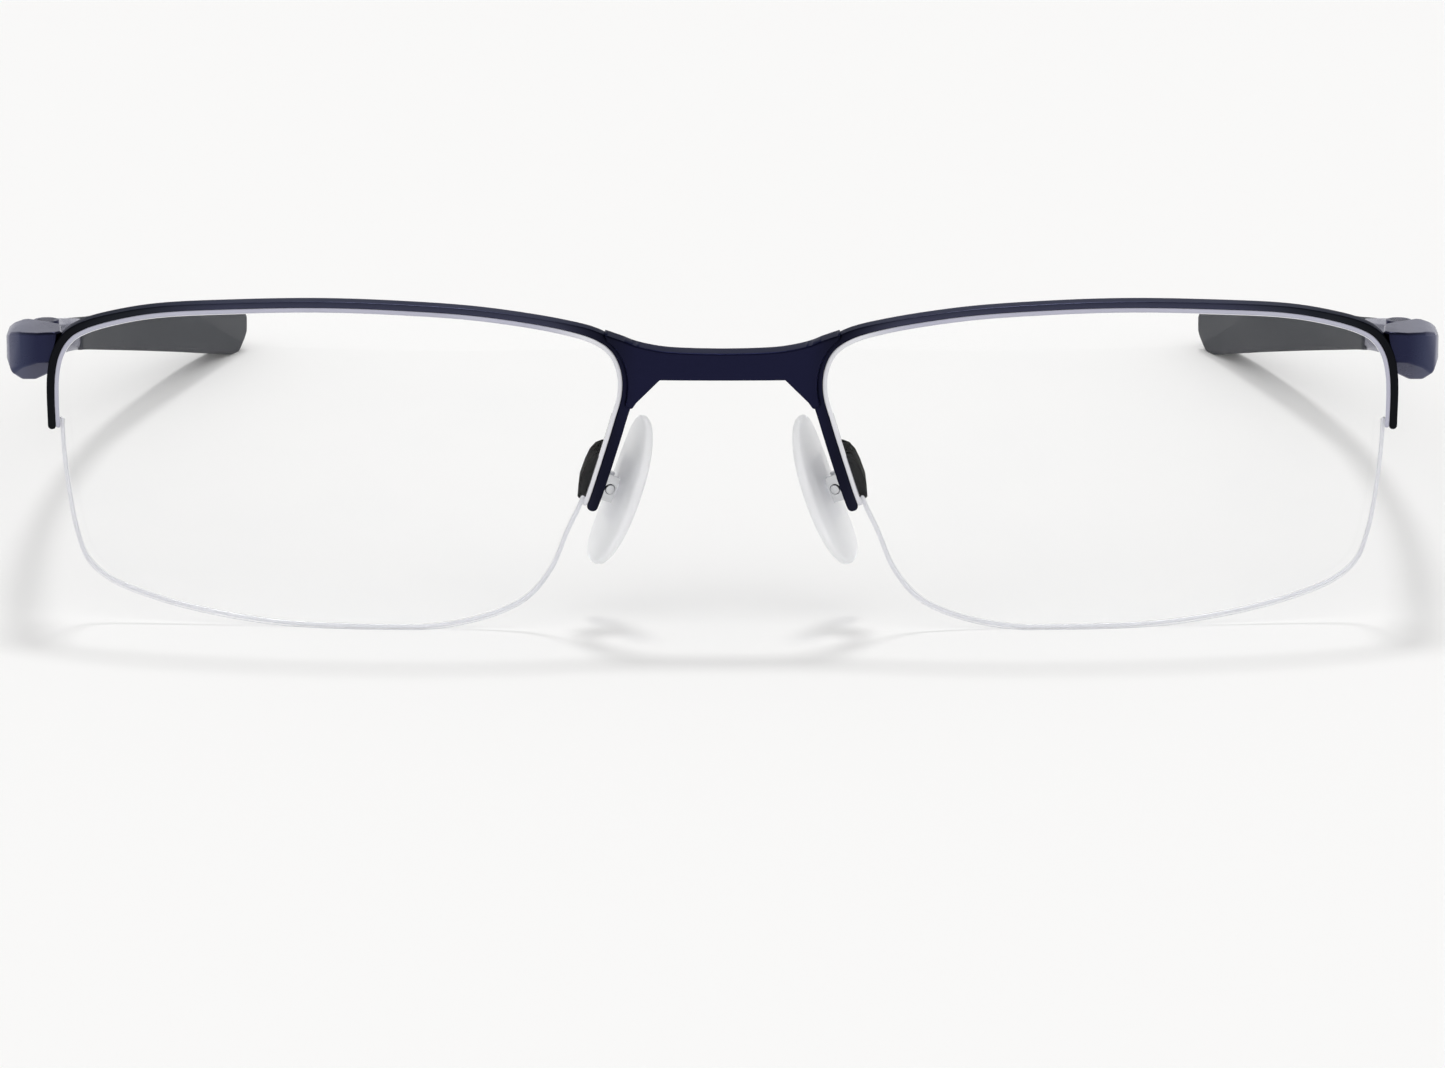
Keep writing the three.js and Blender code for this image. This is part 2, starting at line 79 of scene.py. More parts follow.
def at(x: float, depth: float, z: float) -> Vector:
    """A place in the row frame.

    Args:
        x: Millimetres to the wearer's left.
        depth: Millimetres back from the front of the lenses.
        z: Millimetres up.

    Returns:
        The same place in metres.
    """
    return Vector((x, depth - MIDDLE_DEPTH, z)) * MM


def smooth_through(points: Sequence[Vector], steps: int, closed: bool = False) -> list[Vector]:
    """A smooth curve through points, as a centripetal spline.

    Args:
        points: The points to pass through.
        steps: Straight pieces between two neighbouring points.
        closed: Whether the curve returns to its first point.

    Returns:
        The curve's samples; a closed curve doesn't repeat its first one.
    """
    count = len(points)
    spans = count if closed else count - 1
    samples = []
    for i in range(spans):
        if closed:
            a, b, c, d = (points[(i + k) % count] for k in (-1, 0, 1, 2))
        else:
            b, c = points[i], points[i + 1]
            a = points[i - 1] if i else b * 2 - c
            d = points[i + 2] if i + 2 < count else c * 2 - b
        first, second, third = (math.sqrt((q - p).length) for p, q in ((a, b), (b, c), (c, d)))
        leave = ((b - a) / first - (c - a) / (first + second) + (c - b) / second) * second
        arrive = ((c - b) / second - (d - b) / (second + third) + (d - c) / third) * second
        for k in range(steps):
            t = k / steps
            cubic = b * 2 - c * 2 + leave + arrive
            square = c * 3 - b * 3 - leave * 2 - arrive
            samples.append(b + leave * t + square * t**2 + cubic * t**3)
    if not closed:
        samples.append(points[-1].copy())
    return samples


def rounded(corners: Sequence[Point], share: float, steps: int = 4) -> list[Vector]:
    """A polygon with each corner rounded off.

    Args:
        corners: The polygon's corners.
        share: How much of the shorter neighbouring edge each round takes, up to 0.5.
        steps: Straight pieces in each round.

    Returns:
        The rounded outline's points, in the plane z = 0.
    """
    found = []
    count = len(corners)
    for i in range(count):
        before, here, after = (Vector((*corners[(i + k) % count], 0.0)) for k in (-1, 0, 1))
        reach = share * min((before - here).length, (after - here).length)
        start = here + (before - here).normalized() * reach
        end = here + (after - here).normalized() * reach
        for k in range(steps + 1):
            t = k / steps
            found.append(start * (1 - t) ** 2 + here * 2 * t * (1 - t) + end * t**2)
    return found


def skin(loops: Sequence[Sequence[Vector]]) -> bmesh.types.BMesh:
    """A closed mesh over a row of loops that all have the same number of points.

    Args:
        loops: The loops in order; the first and the last are filled.

    Returns:
        The mesh, with its normals outwards.
    """
    rows, columns = len(loops) - 1, len(loops[0])
    bm = bmesh.new()
    bmesh.ops.create_grid(bm, x_segments=columns, y_segments=rows, size=0.5)
    for vert in bm.verts:
        column = round((vert.co.x + 0.5) * columns) % columns
        vert.co = loops[round((vert.co.y + 0.5) * rows)][column]
    bmesh.ops.remove_doubles(bm, verts=bm.verts, dist=1e-8)
    bmesh.ops.holes_fill(bm, edges=[e for e in bm.edges if e.is_boundary], sides=0)
    bmesh.ops.recalc_face_normals(bm, faces=bm.faces)
    return bm


def plate(outline: Sequence[Vector], along: Vector) -> bmesh.types.BMesh:
    """A solid plate.

    Args:
        outline: The corners of one face.
        along: From that face to the other.

    Returns:
        The mesh, with its normals outwards.
    """
    bm = bmesh.new()
    face = bm.faces.new([bm.verts.new(p) for p in outline])
    made = bmesh.ops.extrude_face_region(bm, geom=[face])
    verts = [e for e in made["geom"] if isinstance(e, bmesh.types.BMVert)]
    bmesh.ops.translate(bm, vec=along, verts=verts)
    bmesh.ops.recalc_face_normals(bm, faces=bm.faces)
    return bm


def rod(radius: float, ends: tuple[Vector, Vector], steps: int, edge: float) -> bmesh.types.BMesh:
    """A round bar.

    Args:
        radius: Its radius in metres.
        ends: The middles of its two end faces.
        steps: Flats round it.
        edge: Width of the rounding on its end edges, in metres.

    Returns:
        The mesh.
    """
    bm = bmesh.new()
    line = ends[1] - ends[0]
    place = Matrix.Translation((ends[0] + ends[1]) / 2) @ line.to_track_quat("Z", "Y").to_matrix().to_4x4()
    bmesh.ops.create_cone(
        bm, cap_ends=True, segments=steps, radius1=radius, radius2=radius, depth=line.length, matrix=place
    )
    soften(bm, edge, 2)
    return bm


def soften(bm: bmesh.types.BMesh, width: float, segments: int = 3, least: float = 28.0) -> None:
    """Rounds a mesh's sharp edges.

    Args:
        bm: The mesh.
        width: Width of the rounding in metres.
        segments: Faces across it.
        least: The smallest angle between two faces, in degrees, that is rounded.
    """
    sharp = [e for e in bm.edges if e.is_manifold and e.calc_face_angle(0.0) > math.radians(least)]
    bmesh.ops.bevel(
        bm, geom=sharp, offset=width, offset_type="OFFSET", segments=segments, profile=0.5,
        affect="EDGES", clamp_overlap=True, material=-1,
    )


def cut(bm: bmesh.types.BMesh, point: Vector, normal: Vector) -> None:
    """Cuts away what is on a plane's outer side, and closes the cut.

    Args:
        bm: The mesh.
        point: A point on the plane.
        normal: The plane's outward normal.
    """
    geom = [*bm.verts, *bm.edges, *bm.faces]
    bmesh.ops.bisect_plane(bm, geom=geom, dist=1e-9, plane_co=point, plane_no=normal, clear_outer=True)
    bmesh.ops.holes_fill(bm, edges=[e for e in bm.edges if e.is_boundary], sides=0)


def trim(bm: bmesh.types.BMesh, outline: Sequence[Vector], view: Vector) -> None:
    """Cuts a block to a convex outline seen along an axis.

    Args:
        bm: The block.
        outline: The outline's corners, anticlockwise seen against the axis.
        view: The axis.
    """
    for here, after in zip(outline, [*outline[1:], outline[0]]):
        cut(bm, here, (after - here).cross(view).normalized())


def joined(meshes: Sequence[bmesh.types.BMesh]) -> bmesh.types.BMesh:
    """Several meshes as one, each still closed on its own.

    Args:
        meshes: The meshes; they are freed.

    Returns:
        The whole mesh.
    """
    whole = bmesh.new()
    for bm in meshes:
        loose = bpy.data.meshes.new("loose")
        bm.to_mesh(loose)
        bm.free()
        whole.from_mesh(loose)
        bpy.data.meshes.remove(loose)
    return whole


def finish_piece(
    bm: bmesh.types.BMesh, name: str, side: Side, body: str, finish: "Finish", nodes: Sequence[str],
    crease: float = 32.0,
) -> bpy.types.Object:
    """Makes a piece of a mesh drawn for the wearer's left, dresses it and hands it to the frame.

    Args:
        bm: The mesh, in place; it is freed.
        name: The piece's name.
        side: The side it belongs to; a right piece is mirrored.
        body: The body that it rides on.
        finish: Its finish.
        nodes: The CAD nodes that it stands for.
        crease: Faces that meet at more than this angle, in degrees, keep a sharp edge.

    Returns:
        The piece.
    """
    if side is Side.RIGHT:
        bmesh.ops.scale(bm, vec=(side.value, 1, 1), verts=bm.verts)
        bmesh.ops.recalc_face_normals(bm, faces=bm.faces)
    mesh = bpy.data.meshes.new(name)
    bm.to_mesh(mesh)
    bm.free()
    mesh.shade_smooth()
    mesh.set_sharp_from_angle(angle=math.radians(crease))
    piece = bpy.data.objects.new(name, mesh)
    bpy.context.scene.collection.objects.link(piece)
    mesh.materials.append(finish.material)
    if not finish.see_through:
        even = piece.modifiers.new("even_shading", "WEIGHTED_NORMAL")
        even.keep_sharp = True
    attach(piece, body)
    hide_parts(*nodes)
    LOG.info("%s: %d faces", name, len(mesh.polygons))
    return piece


# ---------------------------------------------------------------- finishes


class Bench:
    """Adds nodes to one tree and links them."""

    def __init__(self, tree: bpy.types.NodeTree) -> None:
        """Starts on an empty tree."""
        self.tree = tree
        tree.nodes.clear()

    def add(self, kind: str, **values: object) -> bpy.types.Node:
        """Adds a node.

        Args:
            kind: The node's type, without its ShaderNode prefix.
            **values: Its properties by name.

        Returns:
            The node.
        """
        prefix = "" if kind.startswith("NodeGroup") else "ShaderNode"
        node = self.tree.nodes.new(prefix + kind)
        for name, value in values.items():
            setattr(node, name, value)
        return node

    def link(self, source: bpy.types.NodeSocket, target: bpy.types.NodeSocket) -> None:
        """Links two sockets."""
        self.tree.links.new(source, target)

    def feed(self, value: object, target: bpy.types.NodeSocket) -> None:
        """Links a socket to another one, or sets it to a plain value.

        Args:
            value: The value or a socket.
            target: The socket that takes it.
        """
        if isinstance(value, bpy.types.NodeSocket):
            self.link(value, target)
        else:
            target.default_value = value

    def math(self, operation: str, a: object, b: object = None, clamp: bool = False) -> bpy.types.NodeSocket:
        """Adds a Math node.

        Args:
            operation: What it works out.
            a: Its first value, a number or a socket.
            b: Its second value, if it takes one.
            clamp: Whether its result stays from 0 to 1.

        Returns:
            Its output.
        """
        node = self.add("Math", operation=operation, use_clamp=clamp)
        for socket, value in zip(node.inputs, (a, b)):
            if value is not None:
                self.feed(value, socket)
        return node.outputs[0]

    def mix(self, factor: object, low: object, high: object, way: str = "MIX") -> bpy.types.NodeSocket:
        """Adds a Mix node for colours.

        Args:
            factor: From 0 to 1, a number or a socket.
            low: The colour at 0, with its alpha, or a socket.
            high: The colour at 1, with its alpha, or a socket.
            way: How the two are mixed.

        Returns:
            Its output.
        """
        node = self.add("Mix", data_type="RGBA", blend_type=way)
        # For colours, the factor is input 0, the two colours are inputs 6 and 7, and the result is output 2.
        for number, value in ((0, factor), (6, low), (7, high)):
            self.feed(value, node.inputs[number])
        return node.outputs[2]

    def noise(
        self, place: bpy.types.NodeSocket, scale: bpy.types.NodeSocket, detail: float, rough: float
    ) -> bpy.types.NodeSocket:
        """Adds a Noise Texture.

        Args:
            place: Where it is read.
            scale: Its scale.
            detail: Its number of octaves.
            rough: How strong the fine octaves are.

        Returns:
            Its value, from 0 to 1.
        """
        node = self.add("TexNoise")
        self.link(place, node.inputs["Vector"])
        self.link(scale, node.inputs["Scale"])
        node.inputs["Detail"].default_value = detail
        node.inputs["Roughness"].default_value = rough
        return node.outputs[0]


def new_group(name: str, takes: dict[str, float], gives: dict[str, str]) -> tuple[bpy.types.NodeTree, Bench]:
    """Starts a shader node group.

    Args:
        name: The group's name.
        takes: Its number inputs, with their usual values.
        gives: Its outputs, with their socket types.

    Returns:
        The group, and a bench on it with a group input and a group output.
    """
    tree = bpy.data.node_groups.new(name, "ShaderNodeTree")
    for label, value in takes.items():
        socket = tree.interface.new_socket(name=label, in_out="INPUT", socket_type="NodeSocketFloat")
        socket.default_value = value
    for label, kind in gives.items():
        tree.interface.new_socket(name=label, in_out="OUTPUT", socket_type=kind)
    bench = Bench(tree)
    bench.add("NodeGroupInput")
    bench.add("NodeGroupOutput")
    return tree, bench


def make_grain_group() -> bpy.types.NodeTree:
    """A fine grain over a soft cloudiness, both from 0 to 1, and a height made of the two.

    Returns:
        The group.
    """
    tree, bench = new_group(
        "surface_grain",
        {"Fine Scale": 3000.0, "Cloud Scale": 60.0, "Cloud Share": 0.3},
        {"Fine": "NodeSocketFloat", "Cloud": "NodeSocketFloat", "Height": "NodeSocketFloat"},
    )
    taken, given = tree.nodes[0], tree.nodes[1]
    place = bench.add("TexCoord").outputs["Object"]
    fine = bench.noise(place, taken.outputs["Fine Scale"], 3.0, 0.6)
    cloud = bench.noise(place, taken.outputs["Cloud Scale"], 4.0, 0.5)
    share = bench.math("MULTIPLY", cloud, taken.outputs["Cloud Share"])
    bench.link(fine, given.inputs["Fine"])
    bench.link(cloud, given.inputs["Cloud"])
    bench.link(bench.math("ADD", fine, share), given.inputs["Height"])
    return tree


def make_wear_group() -> bpy.types.NodeTree:
    """A mask of worn edges, broken up by noise, from 0 to 1.

    Returns:
        The group.
    """
    tree, bench = new_group(
        "edge_wear",
        {"Reach": 0.00025, "Amount": 1.0, "Breakup Scale": 900.0},
        {"Mask": "NodeSocketFloat"},
    )
    taken, given = tree.nodes[0], tree.nodes[1]
    bevel = bench.add("Bevel", samples=6)
    bench.link(taken.outputs["Reach"], bevel.inputs["Radius"])
    true_normal = bench.add("NewGeometry").outputs["Normal"]
    dot = bench.add("VectorMath", operation="DOT_PRODUCT")
    bench.link(bevel.outputs[0], dot.inputs[0])
    bench.link(true_normal, dot.inputs[1])
    bend = bench.math("SUBTRACT", 1.0, dot.outputs["Value"], clamp=True)
    place = bench.add("TexCoord").outputs["Object"]
    breakup = bench.noise(place, taken.outputs["Breakup Scale"], 4.0, 0.65)
    gain = 7.0
    strong = bench.math("MULTIPLY", bench.math("MULTIPLY", bend, gain), breakup)
    bench.link(bench.math("MULTIPLY", strong, taken.outputs["Amount"], clamp=True), given.inputs["Mask"])
    return tree


def make_smudge_group() -> bpy.types.NodeTree:
    """Soft smears and small specks left by handling, each from 0 to 1.

    Returns:
        The group.
    """
    tree, bench = new_group(
        "handling_marks",
        {"Smear Scale": 45.0, "Speck Scale": 2500.0},
        {"Smears": "NodeSocketFloat", "Specks": "NodeSocketFloat"},
    )
    taken, given = tree.nodes[0], tree.nodes[1]
    stretch = bench.add("Mapping")
    stretch.inputs["Scale"].default_value = (1.0, 1.0, 2.4)
    stretch.inputs["Rotation"].default_value = (0.3, 0.2, 0.5)
    place = bench.add("TexCoord").outputs["Object"]
    bench.link(place, stretch.inputs["Vector"])
    smear = bench.noise(stretch.outputs[0], taken.outputs["Smear Scale"], 5.0, 0.6)
    speck = bench.noise(place, taken.outputs["Speck Scale"], 1.0, 0.5)
    for label, value, least, gain in (("Smears", smear, 0.45, 3.0), ("Specks", speck, 0.68, 9.0)):
        above = bench.math("SUBTRACT", value, least)
        bench.link(bench.math("MULTIPLY", above, gain, clamp=True), given.inputs[label])
    return tree


@dataclass(frozen=True)
class Groups:
    """The node groups that several finishes share."""

    grain: bpy.types.NodeTree
    wear: bpy.types.NodeTree
    smudge: bpy.types.NodeTree

    @classmethod
    def build(cls) -> "Groups":
        """Makes the three groups."""
        return cls(make_grain_group(), make_wear_group(), make_smudge_group())


@dataclass
class Finish:
    """A material, with the name of the slot that it belongs to."""

    see_through: ClassVar[bool] = False
    name: str
    slot: str
    groups: Groups
    material: bpy.types.Material = field(init=False)
    bench: Bench = field(init=False)
    shader: bpy.types.Node = field(init=False)

    def __post_init__(self) -> None:
        """Makes the material and its plain shader, then lets the finish draw its nodes."""
        self.material = bpy.data.materials.new(self.name)
        self.material.use_nodes = True
        self.bench = Bench(self.material.node_tree)
        self.shader = self.bench.add("BsdfPrincipled")
        output = self.bench.add("OutputMaterial")
        self.bench.link(self.shader.outputs[0], output.inputs["Surface"])
        self.draw()

    def draw(self) -> None:
        """Adds the finish's own nodes; each finish has its own."""
        raise NotImplementedError

    def group(self, tree: bpy.types.NodeTree, **values: float) -> bpy.types.Node:
        """Places a shared group.

        Args:
            tree: The group.
            **values: Its inputs, with an underscore for each space.

        Returns:
            The group's node.
        """
        node = self.bench.add("Group", node_tree=tree)
        for name, value in values.items():
            node.inputs[name.replace("_", " ")].default_value = value
        return node

    def set(self, **values: object) -> None:
        """Sets the shader's own sockets, with an underscore for each space in their names."""
        for name, value in values.items():
            self.shader.inputs[name.replace("_", " ")].default_value = value

    def blend(
        self, mask: bpy.types.NodeSocket, low: Colour | bpy.types.NodeSocket, high: Colour
    ) -> bpy.types.NodeSocket:
        """A colour between two by a mask.

        Args:
            mask: From 0 to 1.
            low: The colour at 0, or its socket.
            high: The colour at 1.

        Returns:
            The colour's socket.
        """
        first = low if isinstance(low, bpy.types.NodeSocket) else (*low, 1.0)
        return self.bench.mix(mask, first, (*high, 1.0))

    def span(self, mask: bpy.types.NodeSocket, low: float, high: float) -> bpy.types.NodeSocket:
        """A number between two by a mask.

        Args:
            mask: From 0 to 1.
            low: The number at 0.
            high: The number at 1.

        Returns:
            The number's socket.
        """
        node = self.bench.add("MapRange")
        self.bench.link(mask, node.inputs["Value"])
        node.inputs["To Min"].default_value = low
        node.inputs["To Max"].default_value = high
        return node.outputs[0]

    def with_painted_shade(self, colour: bpy.types.NodeSocket, painted_shades: PaintedShades) -> bpy.types.NodeSocket:
        """Paints shade into a colour by its distance from the glasses' middle.

        Args:
            colour: The colour's socket.
            painted_shades: Where it is darkened, and by how much.

        Returns:
            The darker colour's socket; without shades, the colour's own.
        """
        if not painted_shades:
            return colour
        # Painted shade: a ramp over the distance from the middle multiplies the colour down.
        split = self.bench.add("SeparateXYZ")
        self.bench.link(self.bench.add("TexCoord").outputs["Object"], split.inputs[0])
        out = self.bench.math("DIVIDE", self.bench.math("ABSOLUTE", split.outputs["X"]), HALF_WIDTH * MM)
        ramp = self.bench.add("ValToRGB")
        ramp.color_ramp.interpolation = "EASE"
        stops = ramp.color_ramp.elements
        stops.remove(stops[-1])
        stops[0].position = painted_shades[0][0]
        stops[0].color = (*painted_shades[0][1], 1.0)
        for position, shade in painted_shades[1:]:
            stops.new(position).color = (*shade, 1.0)
        self.bench.link(out, ramp.inputs[0])
        return self.bench.mix(1.0, colour, ramp.outputs[0], "MULTIPLY")

    def bump(self, height: bpy.types.NodeSocket, strength: float, distance: float) -> None:
        """Raises the surface by a height.

        Args:
            height: From 0 to 1.
            strength: How much of it shows.
            distance: The height's full rise in metres.
        """
        node = self.bench.add("Bump")
        node.inputs["Strength"].default_value = strength
        node.inputs["Distance"].default_value = distance
        self.bench.link(height, node.inputs["Height"])
        self.bench.link(node.outputs[0], self.shader.inputs["Normal"])


@dataclass
class EnamelledMetal(Finish):
    """Satin coloured metal with a fine fleck, thinner on its edges."""

    dark: Colour = (0.038, 0.040, 0.067)
    light: Colour = (0.053, 0.056, 0.093)
    worn: Colour = (0.075, 0.078, 0.105)
    grazing: Colour = (0.39, 0.40, 0.46)
    smooth: float = 0.26
    rough: float = 0.40
    painted_shades: PaintedShades = ()

    def draw(self) -> None:
        """Fleck in the colour, smears in the gloss, lighter edges, a slight orange peel and any painted
        shade.
        """
        grain = self.group(self.groups.grain, Fine_Scale=9000.0, Cloud_Scale=90.0, Cloud_Share=0.5)
        wear = self.group(self.groups.wear, Reach=0.0002, Amount=0.55, Breakup_Scale=1100.0)
        marks = self.group(self.groups.smudge, Smear_Scale=70.0, Speck_Scale=5000.0)
        colour = self.blend(grain.outputs["Height"], self.dark, self.light)
        colour = self.blend(wear.outputs["Mask"], colour, self.worn)
        # Painted shade, where the finish has any: the colour is darkened by how far out from the middle it
        # is.
        self.bench.link(self.with_painted_shade(colour, self.painted_shades), self.shader.inputs["Base Color"])
        gloss = self.bench.math("ADD", grain.outputs["Cloud"], marks.outputs["Smears"])
        self.bench.link(self.span(gloss, self.smooth, self.rough), self.shader.inputs["Roughness"])
        self.set(Metallic=1.0, Specular_Tint=(*self.grazing, 1.0))
        self.bump(grain.outputs["Height"], 0.12, 0.00002)


@dataclass
class ClearLens(Finish):
    """Polished and coated clear plastic that lets the lamps through, with faint smears."""

    see_through: ClassVar[bool] = True

    def draw(self) -> None:
        """Transmission, with shadow rays let through, and a gloss that smears a little."""
        marks = self.group(self.groups.smudge, Smear_Scale=60.0, Speck_Scale=1800.0)
        self.set(Transmission_Weight=1.0, IOR=1.27, Metallic=0.0)
        self.bench.link(
            self.blend(marks.outputs["Smears"], (0.997, 0.998, 0.998), (0.982, 0.986, 0.988)),
            self.shader.inputs["Base Color"],
        )
        self.bench.link(self.span(marks.outputs["Smears"], 0.0, 0.02), self.shader.inputs["Roughness"])
        self.let_lamps_through((0.985, 0.988, 0.988))

    def let_lamps_through(self, tint: Colour) -> None:
        """Puts a tinted Transparent shader in for shadow rays and for light on its way from the floor.

        Args:
            tint: What is left of a lamp's light.
        """
        clear = self.bench.add("BsdfTransparent")
        clear.inputs["Color"].default_value = (*tint, 1.0)
        rays = self.bench.add("LightPath")
        mix = self.bench.add("MixShader")
        lit = self.bench.math("MAXIMUM", rays.outputs["Is Shadow Ray"], rays.outputs["Is Diffuse Ray"])
        self.bench.link(lit, mix.inputs[0])
        self.bench.link(self.shader.outputs[0], mix.inputs[1])
        self.bench.link(clear.outputs[0], mix.inputs[2])
        output = next(n for n in self.bench.tree.nodes if n.type == "OUTPUT_MATERIAL")
        self.bench.link(mix.outputs[0], output.inputs["Surface"])


@dataclass
class Nylon(Finish):
    """Satin nylon, a little cloudy, solid or half clear."""

    dark: Colour = (0.52, 0.52, 0.55)
    light: Colour = (0.63, 0.63, 0.66)
    clear: float = 0.0
    painted_shades: PaintedShades = ()

    def draw(self) -> None:
        """Cloud in the colour with any painted shade, and a fine grain in the gloss and the height."""
        grain = self.group(self.groups.grain, Fine_Scale=6000.0, Cloud_Scale=140.0, Cloud_Share=0.8)
        # Painted shade, where the finish has any: the colour is darkened by how far out from the middle it
        # is.
        colour = self.with_painted_shade(self.blend(grain.outputs["Cloud"], self.dark, self.light), self.painted_shades)
        self.bench.link(colour, self.shader.inputs["Base Color"])
        self.bench.link(self.span(grain.outputs["Fine"], 0.25, 0.45), self.shader.inputs["Roughness"])
        self.set(Transmission_Weight=self.clear, IOR=1.53)
        self.bump(grain.outputs["Fine"], 0.15, 0.00001)


@dataclass
class SleeveRubber(Finish):
    """Matt dark grey rubber with a fine moulded grain."""

    dark: Colour = (0.024, 0.026, 0.033)
    light: Colour = (0.035, 0.038, 0.047)
    shine: Colour = (0.055, 0.058, 0.064)
    dust: Colour = (0.25, 0.25, 0.25)
    dustiness: float = 0.25

    def draw(self) -> None:
        """Moulded grain in the height, rubbed edges and specks of dust in the colour, smears in the gloss."""
        grain = self.group(self.groups.grain, Fine_Scale=4200.0, Cloud_Scale=70.0, Cloud_Share=0.35)
        wear = self.group(self.groups.wear, Reach=0.0004, Amount=0.5, Breakup_Scale=700.0)
        marks = self.group(self.groups.smudge, Smear_Scale=40.0, Speck_Scale=2600.0)
        colour = self.blend(grain.outputs["Cloud"], self.dark, self.light)
        colour = self.blend(wear.outputs["Mask"], colour, self.shine)
        specks = self.bench.math("MULTIPLY", marks.outputs["Specks"], self.dustiness)
        self.bench.link(self.blend(specks, colour, self.dust), self.shader.inputs["Base Color"])
        gloss = self.bench.math("MULTIPLY", marks.outputs["Smears"], 0.6)
        self.bench.link(self.span(gloss, 0.78, 0.58), self.shader.inputs["Roughness"])
        self.set(Metallic=0.0, Specular_IOR_Level=0.25)
        self.bump(grain.outputs["Height"], 0.35, 0.00004)


@dataclass
class ClearSilicone(ClearLens):
    """Soft clear silicone: cloudy, satin and a little frosted."""

    def draw(self) -> None:
        """Cloud in the colour and gloss over a rough transmission."""
        grain = self.group(self.groups.grain, Fine_Scale=2600.0, Cloud_Scale=180.0, Cloud_Share=0.6)
        self.bench.link(
            self.blend(grain.outputs["Cloud"], (0.89, 0.892, 0.90), (0.95, 0.952, 0.955)),
            self.shader.inputs["Base Color"],
        )
        self.bench.link(self.span(grain.outputs["Cloud"], 0.30, 0.42), self.shader.inputs["Roughness"])
        self.set(Transmission_Weight=0.5, IOR=1.33, Metallic=0.0)
        self.bump(grain.outputs["Height"], 0.12, 0.00003)
        self.let_lamps_through((0.66, 0.67, 0.69))


@dataclass
class Steel(Finish):
    """Turned steel of small screws and channels."""

    base: Colour = (0.72, 0.73, 0.75)
    bright: Colour = (0.75, 0.76, 0.78)
    dull: float = 0.8

    def draw(self) -> None:
        """Fine turning grain in the gloss and the height, cloud in the colour and brighter edges."""
        grain = self.group(self.groups.grain, Fine_Scale=12000.0, Cloud_Scale=400.0, Cloud_Share=0.5)
        wear = self.group(self.groups.wear, Reach=0.00012, Amount=0.8, Breakup_Scale=2000.0)
        darker = tuple(channel * self.dull for channel in self.base)
        colour = self.blend(grain.outputs["Cloud"], darker, self.base)
        colour = self.blend(wear.outputs["Mask"], colour, self.bright)
        self.bench.link(colour, self.shader.inputs["Base Color"])
        self.bench.link(self.span(grain.outputs["Fine"], 0.22, 0.42), self.shader.inputs["Roughness"])
        self.set(Metallic=1.0)
        self.bump(grain.outputs["Fine"], 0.2, 0.00001)


@dataclass
class Finishes:
    """Every finish on the glasses."""

    groups: Groups = field(default_factory=Groups.build)

    def __post_init__(self) -> None:
        """Makes each finish once."""
        self.enamel = EnamelledMetal(
            "navy_enamelled_metal", "frame_enamel", self.groups,
            # Painted shade: darker over the bridge and the rims' nose legs, full colour over the middle of
            # the bars, then darker towards the outer corners and the ear-side legs, nearly black there.
            painted_shades=(
                (0.11, (0.27, 0.27, 0.44)), (0.16, (0.20, 0.20, 0.25)), (0.25, (1.0, 1.0, 1.0)),
                (0.66, (1.0, 1.0, 1.0)), (0.82, (0.36, 0.38, 0.30)), (0.90, (0.19, 0.19, 0.14)),
            ),
        )
        self.sheen = EnamelledMetal(
            "navy_sheen_metal", "frame_enamel", self.groups,
            dark=(0.028, 0.033, 0.066), light=(0.042, 0.049, 0.097), worn=(0.070, 0.075, 0.110),
            grazing=(0.92, 0.92, 1.0), smooth=0.16, rough=0.28,
            # Painted shade: darkest inwards of 63 mm out, full colour from 67.5 mm, so the endpieces' outer
            # sides stay lightest.
            painted_shades=((0.90, (0.42, 0.39, 0.44)), (0.93, (0.56, 0.53, 0.62)), (0.965, (1.0, 1.0, 1.0))),
        )
        self.black = EnamelledMetal(
            "black_enamelled_metal", "pad_mount_black", self.groups,
            dark=(0.0035, 0.0035, 0.0045), light=(0.007, 0.007, 0.009), worn=(0.014, 0.014, 0.016),
            grazing=(0.02, 0.02, 0.02), smooth=0.42, rough=0.55,
        )
        self.lens = ClearLens("clear_lens_plastic", "lens_plastic", self.groups)
        self.liner = Nylon(
            "grey_liner_nylon", "liner_nylon", self.groups,
            # Painted shade: full colour along the nose legs, darker along the bars under the rims.
            painted_shades=((0.17, (1.0, 1.0, 1.0)), (0.26, (0.62, 0.62, 0.71))),
        )
        self.cord = Nylon(
            "clear_cord_nylon", "cord_nylon", self.groups,
            # Darker grey than the insert's nylon, to give the lens's free edge its grey line: painted shade
            # over the cord's own pale nylon colour.
            dark=(0.70, 0.70, 0.735), light=(0.78, 0.78, 0.815), clear=0.4,
        )
        self.insert = Nylon(
            "clear_insert_nylon", "cord_nylon", self.groups,
            dark=(0.90, 0.90, 0.93), light=(0.95, 0.95, 0.98), clear=0.4,
        )
        self.rubber = SleeveRubber("grey_sleeve_rubber", "sleeve_rubber", self.groups)
        self.silicone = ClearSilicone("clear_silicone", "pad_silicone", self.groups)
        self.steel = Steel("turned_steel", "screw_steel", self.groups)


# ---------------------------------------------------------------- lens edge


